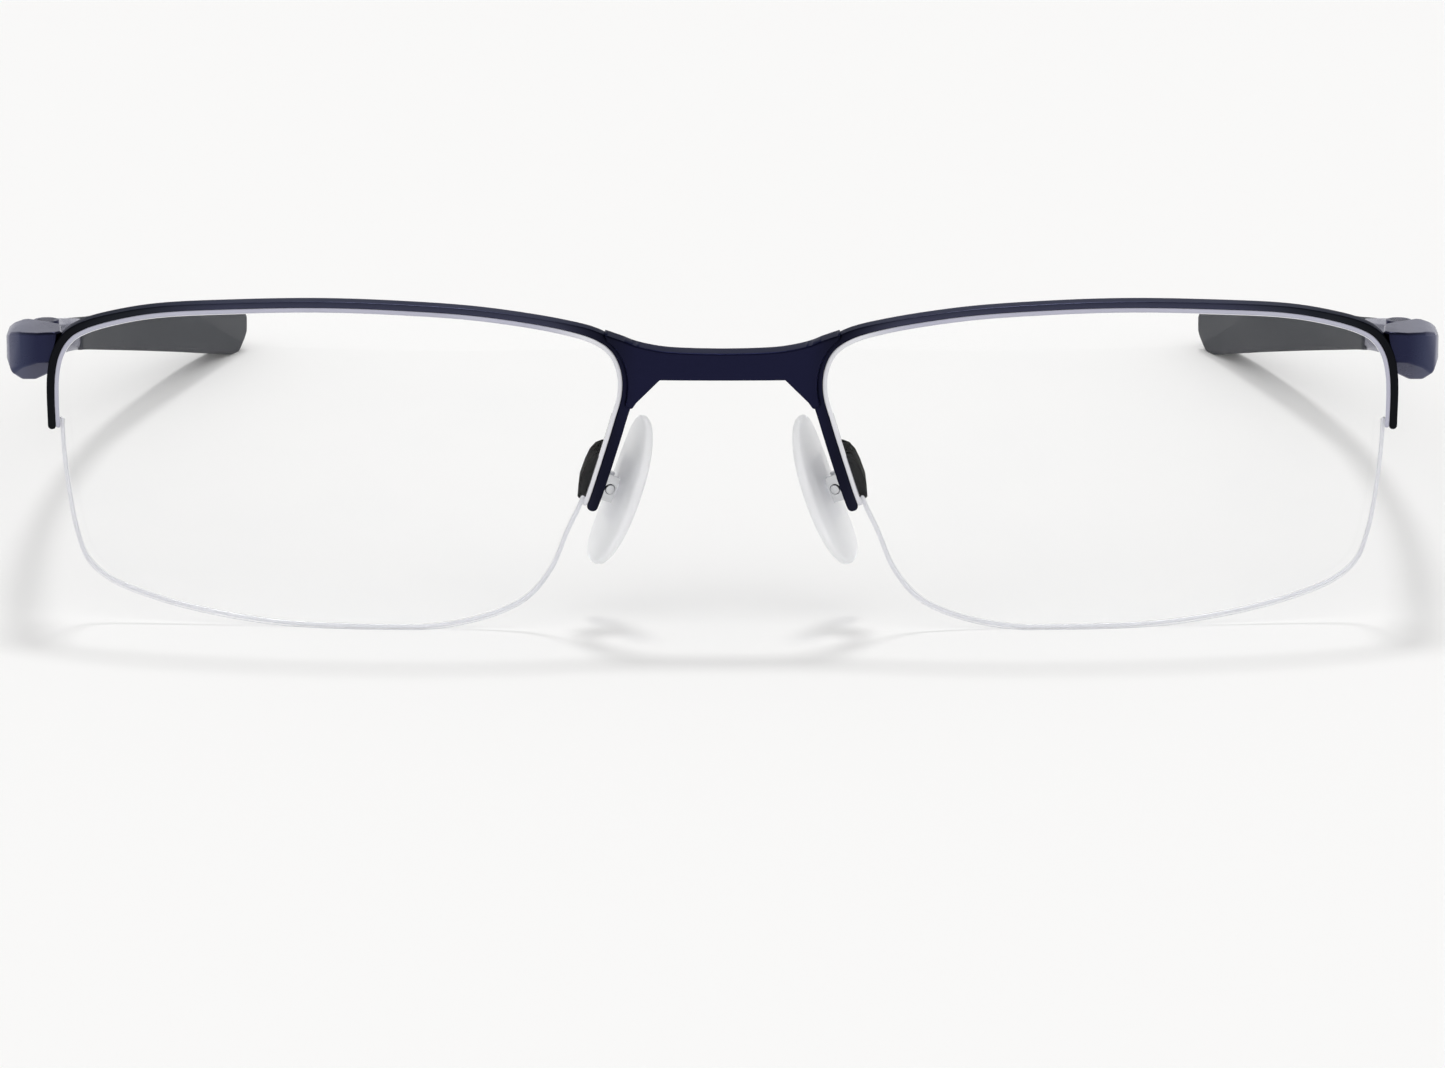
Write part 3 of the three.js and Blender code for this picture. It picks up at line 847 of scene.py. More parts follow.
@dataclass
class LensEdge:
    """The lens's edge line, the rim's width along it, and the ball that the lens's two faces are part of.

    A row of free is an edge point's x and z; a row of rimmed has the rim's width there too.
    """

    radius: float = 120.0
    thickness: float = 2.0
    centre: Row = (25.54, 120.04, 15.7)
    steps: int = 10
    leg_end_width: float = 1.05
    free: tuple[Point, ...] = (
        (13.24, 12.5), (14.55, 9.7), (16.1, 6.0), (18.3, 3.2), (20.9, 1.7), (24.7, 0.55), (28.8, 0),
        (35.2, 0), (42.1, 0.2), (48.8, 1.05), (54.4, 2.3), (58.7, 3.9), (60.8, 5.7), (61.9, 8.6),
        (62.8, 14.0),
    )
    rimmed: tuple[Row, ...] = (
        (63.2, 18.85, 0.78), (63.22, 23.6, 0.78), (62.75, 25.67, 0.78), (61.82, 27.07, 0.76),
        (60.38, 27.95, 0.72), (57.35, 28.96, 0.64), (53.43, 29.77, 0.6), (45.7, 30.42, 0.6),
        (38.1, 30.72, 0.6), (30.5, 30.57, 0.6), (22.88, 30.02, 0.6), (15.45, 28.76, 0.65),
        (12.2, 27.7, 0.8), (10.77, 26.61, 0.95), (10.04, 24.93, 1.05), (9.98, 22.97, 1.08),
        (10.64, 20.55, 1.08), (12.14, 15.75, 1.08),
    )
    line: list[Vector] = field(init=False)
    rim_widths: list[float] = field(init=False)

    def __post_init__(self) -> None:
        """Draws the edge line in x and z, anticlockwise seen from the front, and the rim's width along it."""
        free = [Vector((x, z, self.leg_end_width)) for x, z in self.free]
        samples = smooth_through([*free, *(Vector(row) for row in self.rimmed)], self.steps, closed=True)
        self.line = [Vector((p.x, max(p.y, 0.0), 0.0)) for p in samples]
        self.rim_widths = [p.z for p in samples]

    @property
    def rim_start(self) -> int:
        """The sample where the ear-side leg of the rim ends."""
        return len(self.free) * self.steps

    def outward(self, i: int) -> Vector:
        """The edge's outward direction.

        Args:
            i: The sample of the edge.

        Returns:
            A unit vector in x and z.
        """
        count = len(self.line)
        along = (self.line[(i + 1) % count] - self.line[(i - 1) % count]).normalized()
        return Vector((along.y, -along.x, 0.0))

    def offset(self, i: int, distance: float) -> Vector:
        """A point this far outside the edge at a sample, in x and z."""
        count = len(self.line)
        return self.line[i % count] + self.outward(i % count) * distance

    def depth(self, radius: float, x: float, z: float) -> float:
        """How far back the ball of a radius is at x and z."""
        cx, depth, cz = self.centre
        return depth - math.sqrt(radius**2 - (x - cx) ** 2 - (z - cz) ** 2)

    def on_ball(self, point: Vector, radius: float) -> Vector:
        """A point of x and z put on the ball of a radius, in the row frame."""
        return at(point.x, self.depth(radius, point.x, point.y), point.y)

    def band_loops(
        self, first: int, last: int, section: Sequence[Vector], ends: int = 5, widths: Sequence[float] = (),
    ) -> list[list[Vector]]:
        """Loops of a band that follows the edge, with round ends.

        Args:
            first: The sample that it starts at.
            last: The sample that it ends at, which may pass the end of the list.
            section: Its section: how far outside the edge, and the radius less the ball's.
            ends: Extra loops that round each end.
            widths: The band's width at each sample of the edge, where it isn't the section's own.

        Returns:
            The loops in the row frame.
        """
        inside = min(p.x for p in section)
        width = max(p.x for p in section) - inside
        core = sum(p.y for p in section) / len(section)

        def width_at(i: int) -> float:
            """The band's width at a sample."""
            return widths[i % len(self.line)] if widths else width

        def loop(i: int, beyond: float, share: float) -> list[Vector]:
            """The loop at a sample, moved on along the edge and narrowed to a share of its width.

            Args:
                i: The sample.
                beyond: Millimetres past the sample.
                share: The loop's width as a share of the band's.

            Returns:
                The loop in the row frame.
            """
            out = self.outward(i % len(self.line))
            middle = inside + width_at(i) / 2
            found = []
            for p in section:
                across = ((p.x - inside) / width - 0.5) * width_at(i) * share
                flat = self.offset(i, middle + across) + Vector((-out.y, out.x, 0.0)) * beyond
                found.append(self.on_ball(flat, self.radius + core + (p.y - core) * (0.6 + 0.4 * share)))
            return found

        least = 0.04
        turns = [math.pi / 2 * k / ends for k in range(1, ends + 1)]
        first_half, last_half = width_at(first) / 2, width_at(last) / 2
        head = [loop(first, -first_half * math.sin(t), max(math.cos(t), least)) for t in reversed(turns)]
        tail = [loop(last, last_half * math.sin(t), max(math.cos(t), least)) for t in turns]
        return [*head, *(loop(i, 0.0, 1.0) for i in range(first, last + 1)), *tail]


# ---------------------------------------------------------------- front


@dataclass
class LensUnit:
    """One lens with its rim, its liner and the cord that it hangs in."""

    side: Side
    finishes: Finishes
    edge: LensEdge = field(default_factory=LensEdge)
    lens_middle: Point = (36.0, 15.6)
    lens_overlap: float = 0.1
    lens_bevel: float = 0.12
    rings: int = 14
    seat_gap: float = 0.04
    liner_width: float = 0.36
    liner_inset: float = -0.02
    rim_width: float = 1.0
    rim_proud: float = 0.05
    groove_depth: float = 0.5
    groove_width: float = 0.54
    groove_taper: float = 0.08
    cord_radius: float = 0.2
    cord_lift: float = 0.02

    def build(self) -> None:
        """Builds the unit's four pieces."""
        self.build_lens()
        self.build_rim()
        self.build_liner()
        self.build_cord()

    def build_lens(self) -> None:
        """The lens: two faces of one ball, small bevels, and a groove along its free edge."""
        samples = range(len(self.edge.line))
        middle = Vector((*self.lens_middle, 0.0))
        front, back = self.edge.radius, self.edge.radius - self.edge.thickness
        first_share, last_share = 0.03, 0.98
        shares = [first_share + (last_share - first_share) * (k / self.rings) for k in range(self.rings + 1)]

        def ring(share: float, radius: float) -> list[Vector]:
            """The edge line drawn in towards the lens's middle, on a ball."""
            return [self.edge.on_ball(middle + (p - middle) * share, radius) for p in self.edge.line]

        def rail(outside: float, radius: float) -> list[Vector]:
            """The edge line moved out, and further out where the rim holds the lens, on a ball."""
            held = [0.0 if self.is_grooved(i) else self.lens_overlap for i in samples]
            return [self.edge.on_ball(self.edge.offset(i, outside + held[i]), radius) for i in samples]

        def groove_rail(radius: float) -> list[Vector]:
            """The groove's floor where the groove is open, on a ball."""
            out = [-self.groove_depth if self.is_grooved(i) else self.lens_overlap for i in samples]
            return [self.edge.on_ball(self.edge.offset(i, out[i]), radius) for i in samples]

        bevel, core = self.lens_bevel, (front + back) / 2
        half, half_floor = self.groove_width / 2, self.groove_width / 2 - self.groove_taper
        loops = [ring(share, front) for share in shares]
        loops += [rail(-bevel, front), rail(0.0, front - bevel), rail(0.0, core + half)]
        loops += [groove_rail(core + half_floor), groove_rail(core - half_floor)]
        loops += [rail(0.0, core - half), rail(0.0, back + bevel), rail(-bevel, back)]
        loops += [ring(share, back) for share in reversed(shares)]
        name = self.side.of("lens")
        finish_piece(skin(loops), name, self.side, "front", self.finishes.lens, [name], crease=25.0)

    def is_grooved(self, i: int) -> bool:
        """Whether the cord's groove is open at a sample of the edge."""
        return i <= self.edge.rim_start + 1 or i >= len(self.edge.line) - 1

    def build_rim(self) -> None:
        """The slim bar over the lens and its two legs."""
        inside = 2 * self.seat_gap + self.liner_width
        outside = inside + self.rim_width
        near, far = self.rim_proud, -self.edge.thickness - self.rim_proud
        section = rounded([(inside, near), (outside, near), (outside, far), (inside, far)], 0.2, 4)
        last = len(self.edge.line)
        loops = self.edge.band_loops(self.edge.rim_start, last, section, widths=self.edge.rim_widths)
        name = self.side.of("rim")
        finish_piece(skin(loops), name, self.side, "front", self.finishes.enamel, [name])

    def build_liner(self) -> None:
        """The grey strip between the lens and the rim."""
        inside, outside = 0.0, 2 * self.seat_gap + self.liner_width
        near, far = -self.liner_inset, self.liner_inset - self.edge.thickness
        section = rounded([(inside, near), (outside, near), (outside, far), (inside, far)], 0.3, 3)
        loops = self.edge.band_loops(self.edge.rim_start, len(self.edge.line), section)
        name = self.side.of("rim_liner")
        finish_piece(skin(loops), name, self.side, "front", self.finishes.liner, [name])

    def build_cord(self) -> None:
        """The nylon cord in the groove of the free edge, from one leg of the rim to the other."""
        steps, spare = 12, 1
        middle = Vector((-self.groove_depth / 2 + self.cord_lift, -self.edge.thickness / 2, 0.0))
        turns = [2 * math.pi * k / steps for k in range(steps)]
        section = [middle + Vector((math.cos(t), math.sin(t), 0.0)) * self.cord_radius for t in turns]
        count = len(self.edge.line)
        loops = self.edge.band_loops(count - spare, count + self.edge.rim_start + spare, section, ends=3)
        name = self.side.of("lens_cord")
        finish_piece(skin(loops), name, self.side, "front", self.finishes.cord, [name])


@dataclass
class Bridge:
    """The flat bar between the rims, brazed over their ends.

    It covers the rims as far out as cover_x and as far down as cover_z. Below that its outline turns back at
    the notch.
    """

    finishes: Finishes
    edge: LensEdge = field(default_factory=LensEdge)
    front: float = 0.3
    back: float = 3.3
    sweep_back: float = 0.55
    half_width: float = 11.8
    rim_cover: float = 0.95
    cover_x: float = 11.1
    cover_z: float = 21.2
    top: tuple[Point, ...] = (
        (0, 27.0), (3.0, 27.05), (5.6, 27.2), (7.6, 27.55), (8.6, 27.83), (9.4, 28.15), (11.2, 28.75),
    )
    notch: tuple[Point, ...] = ((8.6, 21.55), (8.15, 22.2), (5.95, 24.4))

    def half_outline(self) -> list[Vector]:
        """The wearer's left half, from the top's middle out and back to the underside's middle.

        Returns:
            The half outline's points in x and z.
        """
        top = smooth_through([Vector((x, z, 0.0)) for x, z in self.top], 5)
        count = len(self.edge.line)
        inner = [self.edge.offset(i, self.rim_cover) for i in range(self.edge.rim_start, count)]
        inner = [p for p in inner if p.x < self.cover_x and p.y > self.cover_z]
        return [*top, *inner[::3], *(Vector((x, z, 0.0)) for x, z in self.notch)]

    def build(self) -> None:
        """Builds the bridge."""
        left = self.half_outline()
        right = [Vector((-p.x, p.y, 0.0)) for p in reversed(left[1:])]
        outline = [at(p.x, self.front, p.y) for p in (*left, *right)]
        bm = plate(outline, Vector((0.0, (self.back - self.front) * MM, 0.0)))
        soften(bm, 0.2 * MM, 3, least=50.0)
        # A cut at every millimetre lets the flat bar bend back evenly.
        for x in range(-11, 12):
            geom = [*bm.verts, *bm.edges, *bm.faces]
            bmesh.ops.bisect_plane(bm, geom=geom, dist=1e-9, plane_co=at(x, 0, 25), plane_no=(1, 0, 0))
        for vert in bm.verts:
            vert.co.y += self.sweep_back * MM * (vert.co.x / (self.half_width * MM)) ** 2
        finish_piece(bm, "bridge", Side.LEFT, "front", self.finishes.enamel, ["bridge"])


@dataclass
class Hinge:
    """Where the hinge stands and how its barrels stack, in millimetres."""

    x: float = 65.1
    depth: float = 15.5
    low: float = 22.9
    high: float = 27.4
    radius: float = 1.25
    gap: float = 0.15
    screw_radius: float = 0.6
    head_radius: float = 1.0
    head_height: float = 0.4

    @property
    def barrels(self) -> list[tuple[float, float]]:
        """The low and high ends of the three barrels, from the bottom."""
        tall = (self.high - self.low - 2 * self.gap) / 3
        return [(self.low + k * (tall + self.gap), self.low + k * (tall + self.gap) + tall) for k in range(3)]

    def barrel(self, number: int) -> bmesh.types.BMesh:
        """One barrel as a mesh.

        Args:
            number: The barrel, counted from the bottom, from 0.

        Returns:
            The mesh.
        """
        low, high = self.barrels[number]
        return self.upright(self.radius, low, high, 48, 0.1)

    def upright(self, radius: float, low: float, high: float, steps: int, edge: float) -> bmesh.types.BMesh:
        """A round bar on the hinge's axis, in millimetres.

        Args:
            radius: Its radius.
            low: Its lower end.
            high: Its upper end.
            steps: Flats round it.
            edge: Width of the rounding on its end edges.

        Returns:
            The mesh.
        """
        ends = at(self.x, self.depth, low), at(self.x, self.depth, high)
        return rod(radius * MM, ends, steps, edge * MM)


@dataclass
class Endpiece:
    """The chamfered block at the end of a rim, with the hinge's outer barrels.

    The block is what a front view, a plan and a side view leave of a bar of its length. A point of the front
    view is x and z, of the plan x and depth, and of the side view depth and z.
    """

    side: Side
    finishes: Finishes
    hinge: Hinge = field(default_factory=Hinge)
    block: float = 20.0
    front_view: tuple[Point, ...] = (
        (62.3, 27.85), (62.3, 24.2), (64.4, 23.3), (65.8, 22.4), (67.2, 22.4), (68.75, 24.1), (68.75, 26.6),
        (68.2, 27.15), (67.2, 27.5), (64.5, 27.75),
    )
    plan: tuple[Point, ...] = (
        (61.6, 9.3), (63.6, 6.9), (65.4, 7.1), (67.0, 8.2), (68.2, 10.0), (68.7, 12.4), (68.75, 15.45),
        (63.8, 15.45), (63.4, 11.5),
    )
    side_view: tuple[Point, ...] = ((5.0, 26.2), (11.0, 22.4), (16.0, 22.4), (16.0, 29.0), (5.0, 29.0))

    def build(self) -> None:
        """Builds the endpiece and its hinge screw."""
        outline = [at(x, 0.0, z) for x, z in self.front_view]
        bm = plate(outline, Vector((0.0, self.block * MM, 0.0)))
        trim(bm, [at(x, depth, 0.0) for x, depth in self.plan], Vector((0, 0, 1)))
        trim(bm, [at(0.0, depth, z) for depth, z in self.side_view], Vector((1, 0, 0)))
        soften(bm, 0.3 * MM, 3, least=24.0)
        whole = joined([bm, self.hinge.barrel(0), self.hinge.barrel(2)])
        name = self.side.of("endpiece")
        finish_piece(whole, name, self.side, "front", self.finishes.sheen, [name])
        self.build_screw()

    def build_screw(self) -> None:
        """The screw that is the hinge's pin, with its head in the top barrel."""
        h = self.hinge
        seat = h.high - h.head_height
        sunk = 0.1
        shank = h.upright(h.screw_radius, h.low, seat + sunk, 32, 0.05)
        head = h.upright(h.head_radius, seat, h.high, 40, 0.1)
        name = self.side.of("hinge_screw")
        finish_piece(joined([shank, head]), name, self.side, "front", self.finishes.steel, [name])


# ---------------------------------------------------------------- temples


def read_rows(rows: Sequence[Row]) -> Callable[[float], Point]:
    """Reads two values at any depth from rows of depth and the two values.

    Args:
        rows: The rows, in order of depth.

    Returns:
        A function from depth to the two values.
    """
    curve = smooth_through([Vector(row) for row in rows], 40)

    def read(depth: float) -> Point:
        """The two values at a depth, between the curve's nearest samples.

        Args:
            depth: Where they are read.

        Returns:
            The two values.
        """
        after = next((k for k, p in enumerate(curve) if p.x >= depth), len(curve) - 1)
        low, high = curve[max(after - 1, 0)], curve[after]
        share = (depth - low.x) / (high.x - low.x) if high.x > low.x else 0.0
        point = low.lerp(high, share)
        return point.y, point.z

    return read


@dataclass
class Temple:
    """A folding temple: a metal arm and the rubber sleeve on its end.

    A row of line is a depth, with the temple's middle x and its lowest z there. A row of sizes is a depth,
    with the width and the height there. A section is in shares of the width and the height.
    """

    side: Side
    finishes: Finishes
    hinge: Hinge = field(default_factory=Hinge)
    start: float = 15.65
    sleeve_start: float = 77.0
    sleeve_cover: float = 1.0
    end: float = 141.0
    round_at: float = 2.4
    round_low: float = 1.9
    round_top: float = 1.0
    round_side: float = 0.1
    round_chamfer: float = 0.75
    arm_steps: int = 44
    sleeve_steps: int = 60
    round_steps: int = 10
    line: tuple[Row, ...] = (
        (12, 66.8, 22.4), (30, 67.9, 19.5), (46, 68.4, 17.1), (62, 68.3, 14.7), (77, 67.5, 12.3),
        (92, 66.0, 9.35), (108, 63.0, 6.1), (124, 59.2, 2.75), (133, 56.8, 0.8), (143, 53.6, -1.3),
    )
    arm_sizes: tuple[Row, ...] = (
        (12, 3.8, 5.4), (30, 3.0, 4.9), (46, 2.6, 4.3), (62, 2.4, 3.7), (77, 2.3, 3.3),
    )
    sleeve_sizes: tuple[Row, ...] = (
        (77, 2.7, 3.25), (92, 2.8, 3.6), (108, 3.3, 4.6), (124, 3.6, 5.1), (143, 3.2, 5.9),
    )
    arm_section: tuple[Point, ...] = (
        (-0.5, 0.14), (-0.34, 0), (0.12, 0), (0.5, 0.3), (0.5, 0.86), (0.32, 1), (-0.36, 1), (-0.5, 0.88),
    )
    sleeve_section: tuple[Point, ...] = (
        (-0.5, 0.07), (-0.44, 0), (0.44, 0), (0.5, 0.08), (0.5, 0.82), (0.32, 1), (-0.32, 1), (-0.5, 0.82),
    )
    web_x: float = 67.0
    web_depths: Point = (17.2, 16.7)

    def __post_init__(self) -> None:
        """Reads the temple's middle and its underside at any depth."""
        self.middle_and_low = read_rows(self.line)

    def build(self) -> None:
        """Builds the arm and the sleeve."""
        self.build_arm()
        self.build_sleeve()

    def loop(self, depth: float, width: float, heights: Point, section: Sequence[Vector]) -> list[Vector]:
        """A section's loop at a depth, square to the temple's line seen from above.

        Args:
            depth: Millimetres back from the front of the lenses.
            width: The section's width there.
            heights: Its lowest and its highest z there.
            section: The section as shares of width and height.

        Returns:
            The loop in the row frame.
        """
        step = 0.5
        middle = self.middle_and_low(depth)[0]
        turn = math.atan2(self.middle_and_low(depth + step)[0] - middle, step)
        low, high = heights
        found = []
        for p in section:
            across = p.x * width
            z = low + p.y * (high - low)
            found.append(at(middle + across * math.cos(turn), depth - across * math.sin(turn), z))
        return found

    def build_arm(self) -> None:
        """The metal arm, from its butt face at the hinge to its shoulder in the sleeve's mouth."""
        sizes = read_rows(self.arm_sizes)
        section = rounded(self.arm_section, 0.3, 3)
        length = self.sleeve_start + self.sleeve_cover - self.start
        loops = []
        for k in range(self.arm_steps + 1):
            depth = self.start + length * k / self.arm_steps
            width, height = sizes(depth)
            low = self.middle_and_low(depth)[1]
            loops.append(self.loop(depth, width, (low, low + height), section))
        for p in loops[0]:
            p.y = (self.start - MIDDLE_DEPTH) * MM
        bm = skin(loops)
        soften(bm, 0.15 * MM, 2, least=60.0)
        whole = joined([bm, self.web(), self.hinge.barrel(1)])
        name = self.side.of("temple")
        finish_piece(whole, name, self.side, name, self.finishes.sheen, [name])

    def web(self) -> bmesh.types.BMesh:
        """The web that ties the middle barrel to the arm.

        Returns:
            The mesh.
        """
        low, high = self.hinge.barrels[1]
        outer, inner = self.web_depths
        near, far = self.hinge.x, self.web_x
        corners = ((near, self.start), (far, self.start), (far, outer), (near, inner))
        return plate([at(x, depth, low) for x, depth in corners], Vector((0, 0, (high - low) * MM)))

    def build_sleeve(self) -> None:
        """The rubber sleeve, closed and rounded at its end."""
        sizes = read_rows(self.sleeve_sizes)
        section = rounded(self.sleeve_section, 0.42, 4)
        straight = self.end - self.round_at
        along = (straight - self.sleeve_start) / self.sleeve_steps
        turn = math.pi / 2 / self.round_steps
        depths = [self.sleeve_start + along * k for k in range(self.sleeve_steps + 1)]
        depths += [straight + self.round_at * math.sin(turn * k) for k in range(1, self.round_steps + 1)]
        loops = []
        for depth in depths:
            width, height = sizes(depth)
            low = self.middle_and_low(depth)[1]
            past = max(depth - straight, 0.0) / self.round_at
            bend = 1 - math.sqrt(max(1 - past**2, 0.0))
            high = low + height - self.round_top * bend
            rise = self.round_chamfer * past + (1 - self.round_chamfer) * bend
            low = max(low, 0.0) + self.round_low * rise
            loops.append(self.loop(depth, width * (1 - self.round_side * bend), (low, high), section))
        bm = skin(loops)
        soften(bm, 0.25 * MM, 3, least=60.0)
        name = self.side.of("temple_sleeve")
        finish_piece(bm, name, self.side, self.side.of("temple"), self.finishes.rubber, [name])


# ---------------------------------------------------------------- nose pads


@dataclass
class NosePad:
    """A silicone pad with its clear insert, the black strap and steel channel that hold it, and its screw.

    The pad's middle is at x, depth and z. Its top leans to the nose by lean degrees, and it is turned about
    its length by splay degrees. A point of strap is x and depth on the strap's middle, and a point of fin is
    x and z on its outline from the front.
    """

    side: Side
    finishes: Finishes
    x: float = 9.35
    depth: float = 8.0
    z: float = 12.15
    length: float = 15.0
    width: float = 8.0
    thickness: float = 1.9
    lean: float = 20.0
    splay: float = 15.0
    bow: float = 0.6
    squareness: float = 2.6
    fullness: float = 0.62
    taper: float = 0.1
    strap: tuple[Point, ...] = (
        (11.9, 3.1), (12.9, 3.7), (13.35, 5.0), (13.35, 6.7), (12.9, 8.0), (12.0, 8.8),
    )
    strap_z: float = 15.0
    strap_lean: float = 19.0
    strap_half: Point = (0.45, 4.5)
    fin: tuple[Point, ...] = (
        (8.0, 13.4), (10.0, 12.2), (13.4, 12.2), (13.85, 12.75), (13.7, 14.0), (13.2, 15.4), (12.75, 16.3),
        (12.2, 16.85), (11.4, 17.05), (8.0, 16.9),
    )

    def place(self) -> Matrix:
        """From the pad's own axes (to the nose, across, up) to the row frame.

        Returns:
            The placing matrix.
        """
        lean = math.radians(self.lean)
        up = Vector((-math.sin(lean), 0.0, math.cos(lean)))
        flat = Vector((-math.cos(lean), 0.0, -math.sin(lean)))
        to_nose = Matrix.Rotation(-math.radians(self.splay), 3, up) @ flat
        across = up.cross(to_nose)
        turn = Matrix((to_nose, across, up)).transposed().to_4x4()
        return Matrix.Translation(at(self.x, self.depth, self.z)) @ turn

    def build(self) -> None:
        """Builds the pad and its strap, and refines the small pieces between them."""
        self.build_pad()
        self.build_arm()
        refine_node(self.side.of("nose_pad_box"), "front", self.finishes.steel)
        refine_node(self.side.of("nose_pad_screw"), "front", self.finishes.steel)
        refine_node(self.side.of("nose_pad_core"), self.side.of("pad"), self.finishes.insert)

    def build_pad(self) -> None:
        """The pad: a bowed pillow with a full edge."""
        bm = bmesh.new()
        bmesh.ops.create_uvsphere(bm, u_segments=56, v_segments=36, radius=1.0)
        power = self.squareness
        for vert in bm.verts:
            x, y, z = vert.co
            around = math.hypot(y, z)
            spread = (abs(y) ** power + abs(z) ** power) ** (-1 / power) * around if around > 1e-6 else 1.0
            y, z = y * spread, z * spread
            full = math.copysign(abs(x) ** self.fullness, x)
            vert.co = Vector((
                full * self.thickness / 2 - self.bow * z * z,
                y * self.width / 2 * (1.0 - self.taper * z),
                z * self.length / 2,
            )) * MM
        bmesh.ops.transform(bm, matrix=self.place(), verts=bm.verts)
        bmesh.ops.recalc_face_normals(bm, faces=bm.faces)
        name = self.side.of("nose_pad")
        body = self.side.of("pad")
        piece = finish_piece(bm, name, self.side, body, self.finishes.silicone, [name], crease=60.0)

    def build_arm(self) -> None:
        """The bent strap behind the rim's leg, trimmed to a fin seen from the front."""
        path = smooth_through([Vector((x, depth, 0.0)) for x, depth in self.strap], 6)
        lean = math.tan(math.radians(self.strap_lean))
        thick, tall = self.strap_half
        section = rounded([(-thick, -tall), (thick, -tall), (thick, tall), (-thick, tall)], 0.2, 3)
        loops = []
        for i, p in enumerate(path):
            along = (path[min(i + 1, len(path) - 1)] - path[max(i - 1, 0)]).normalized()
            out = Vector((along.y, -along.x, 0.0))
            loops.append([
                at(p.x + out.x * q.x - lean * q.y, p.y + out.y * q.x, self.strap_z + q.y) for q in section
            ])
        bm = skin(loops)
        trim(bm, [at(x, 0.0, z) for x, z in self.fin], Vector((0, -1, 0)))
        soften(bm, 0.12 * MM, 2, least=40.0)
        name = self.side.of("nose_pad_arm")
        finish_piece(bm, name, self.side, "front", self.finishes.black, [name])


def refine_node(name: str, body: str, finish: Finish) -> None:
    """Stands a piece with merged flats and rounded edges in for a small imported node.

    Args:
        name: The node's name.
        body: The body that it rides on.
        finish: Its finish.
    """
    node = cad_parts[name]
    bm = bmesh.new()
    bm.from_mesh(node.data)
    bmesh.ops.transform(bm, matrix=node.matrix_world, verts=bm.verts)
    bmesh.ops.remove_doubles(bm, verts=bm.verts, dist=1e-7)
    bmesh.ops.dissolve_limit(bm, angle_limit=math.radians(1.0), verts=bm.verts, edges=bm.edges)
    soften(bm, 0.06 * MM, 2, least=50.0)
    finish_piece(bm, f"{name}_fine", Side.LEFT, body, finish, [name])


# ---------------------------------------------------------------- stage


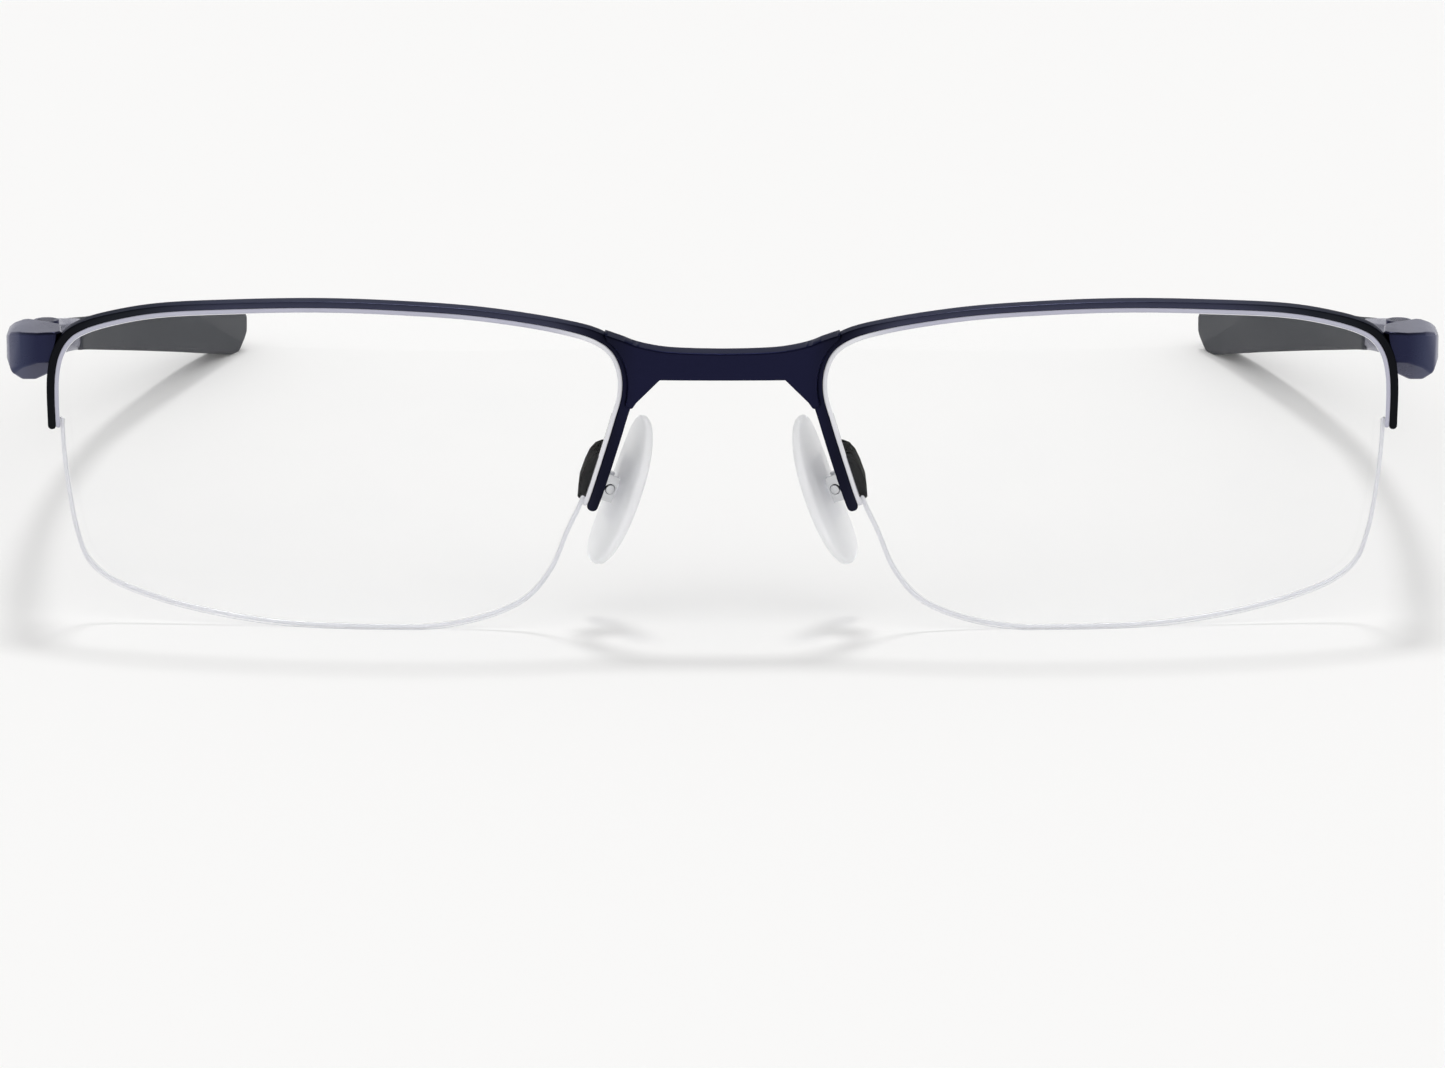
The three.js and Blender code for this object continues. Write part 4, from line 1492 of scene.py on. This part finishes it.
@dataclass
class Stage:
    """The pale floor, the soft light and the camera, in millimetres and degrees."""

    camera_back: float = 800.0
    camera_up: float = 185.4
    camera_pitch: float = 12.39
    lens: float = 214.9
    key_height: float = 61.0
    key_energy: float = 0.83
    key_spread: float = 11.0
    fill_energy: float = 1.84
    fill_spread: float = 90.0
    fill_lean: float = -50.0
    sky_low: float = 0.95
    sky_high: float = 0.19
    floor_half: float = 6000.0
    floor_colour: Colour = (0.905, 0.900, 0.893)

    def build(self) -> None:
        """Sets everything round the glasses."""
        self.build_camera()
        self.build_floor()
        self.build_light()

    def build_camera(self) -> None:
        """A long lens in front and a little above."""
        camera = bpy.data.objects.new("camera", bpy.data.cameras.new("camera"))
        camera.data.lens = self.lens
        camera.data.sensor_width = 36.0
        camera.data.clip_start = 0.05
        camera.location = at(0.0, -self.camera_back, self.camera_up)
        camera.rotation_euler = (math.radians(90.0 - self.camera_pitch), 0.0, 0.0)
        bpy.context.scene.collection.objects.link(camera)
        bpy.context.scene.camera = camera

    def build_floor(self) -> None:
        """A wide pale matt floor."""
        bm = bmesh.new()
        bmesh.ops.create_grid(bm, x_segments=8, y_segments=8, size=self.floor_half * MM)
        mesh = bpy.data.meshes.new("floor")
        bm.to_mesh(mesh)
        bm.free()
        floor = bpy.data.objects.new("floor", mesh)
        bpy.context.scene.collection.objects.link(floor)
        material = bpy.data.materials.new("floor_paper")
        material.use_nodes = True
        bench = Bench(material.node_tree)
        shader = bench.add("BsdfDiffuse")
        shader.inputs["Color"].default_value = (*self.floor_colour, 1.0)
        bench.link(shader.outputs[0], bench.add("OutputMaterial").inputs["Surface"])
        mesh.materials.append(material)

    def build_light(self) -> None:
        """A sky that is brightest low down, a soft lamp high behind the glasses and a wide one in front."""
        scene = bpy.context.scene
        scene.view_settings.view_transform = "Standard"
        world = bpy.data.worlds.new("studio")
        scene.world = world
        world.use_nodes = True
        bench = Bench(world.node_tree)
        back = bench.add("Background")
        back.inputs["Color"].default_value = (1.0, 1.0, 1.0, 1.0)
        split = bench.add("SeparateXYZ")
        bench.link(bench.add("TexCoord").outputs["Generated"], split.inputs[0])
        above = bench.math("MAXIMUM", split.outputs["Z"], 0.0)
        fall = bench.math("MULTIPLY", above, self.sky_high - self.sky_low)
        bench.link(bench.math("ADD", fall, self.sky_low), back.inputs["Strength"])
        bench.link(back.outputs[0], bench.add("OutputWorld").inputs["Surface"])
        self.build_lamp("key", self.key_energy, self.key_spread, 90.0 - self.key_height)
        fill = self.build_lamp("fill", self.fill_energy, self.fill_spread, self.fill_lean)
        fill.data.use_shadow = False
        fill.visible_glossy = False

    @staticmethod
    def build_lamp(name: str, energy: float, spread: float, lean: float) -> bpy.types.Object:
        """Adds a far soft lamp.

        Args:
            name: Its name.
            energy: Its light on a face turned to it, in watts a square metre.
            spread: How wide it looks, in degrees.
            lean: How far behind the glasses' zenith it stands, in degrees.

        Returns:
            The lamp.
        """
        lamp = bpy.data.lights.new(name, "SUN")
        lamp.angle = math.radians(spread)
        lamp.energy = energy
        placed = bpy.data.objects.new(name, lamp)
        placed.rotation_euler = (-math.radians(lean), 0.0, 0.0)
        bpy.context.scene.collection.objects.link(placed)
        return placed


def main() -> None:
    """Builds the stage, then the glasses from the bridge outwards."""
    logging.basicConfig(level=logging.INFO, format="%(name)s: %(message)s")
    Stage().build()
    finishes = Finishes()
    Bridge(finishes).build()
    for side in Side:
        LensUnit(side, finishes).build()
        Endpiece(side, finishes).build()
        Temple(side, finishes).build()
        NosePad(side, finishes).build()


if __name__ == "__main__":
    main()
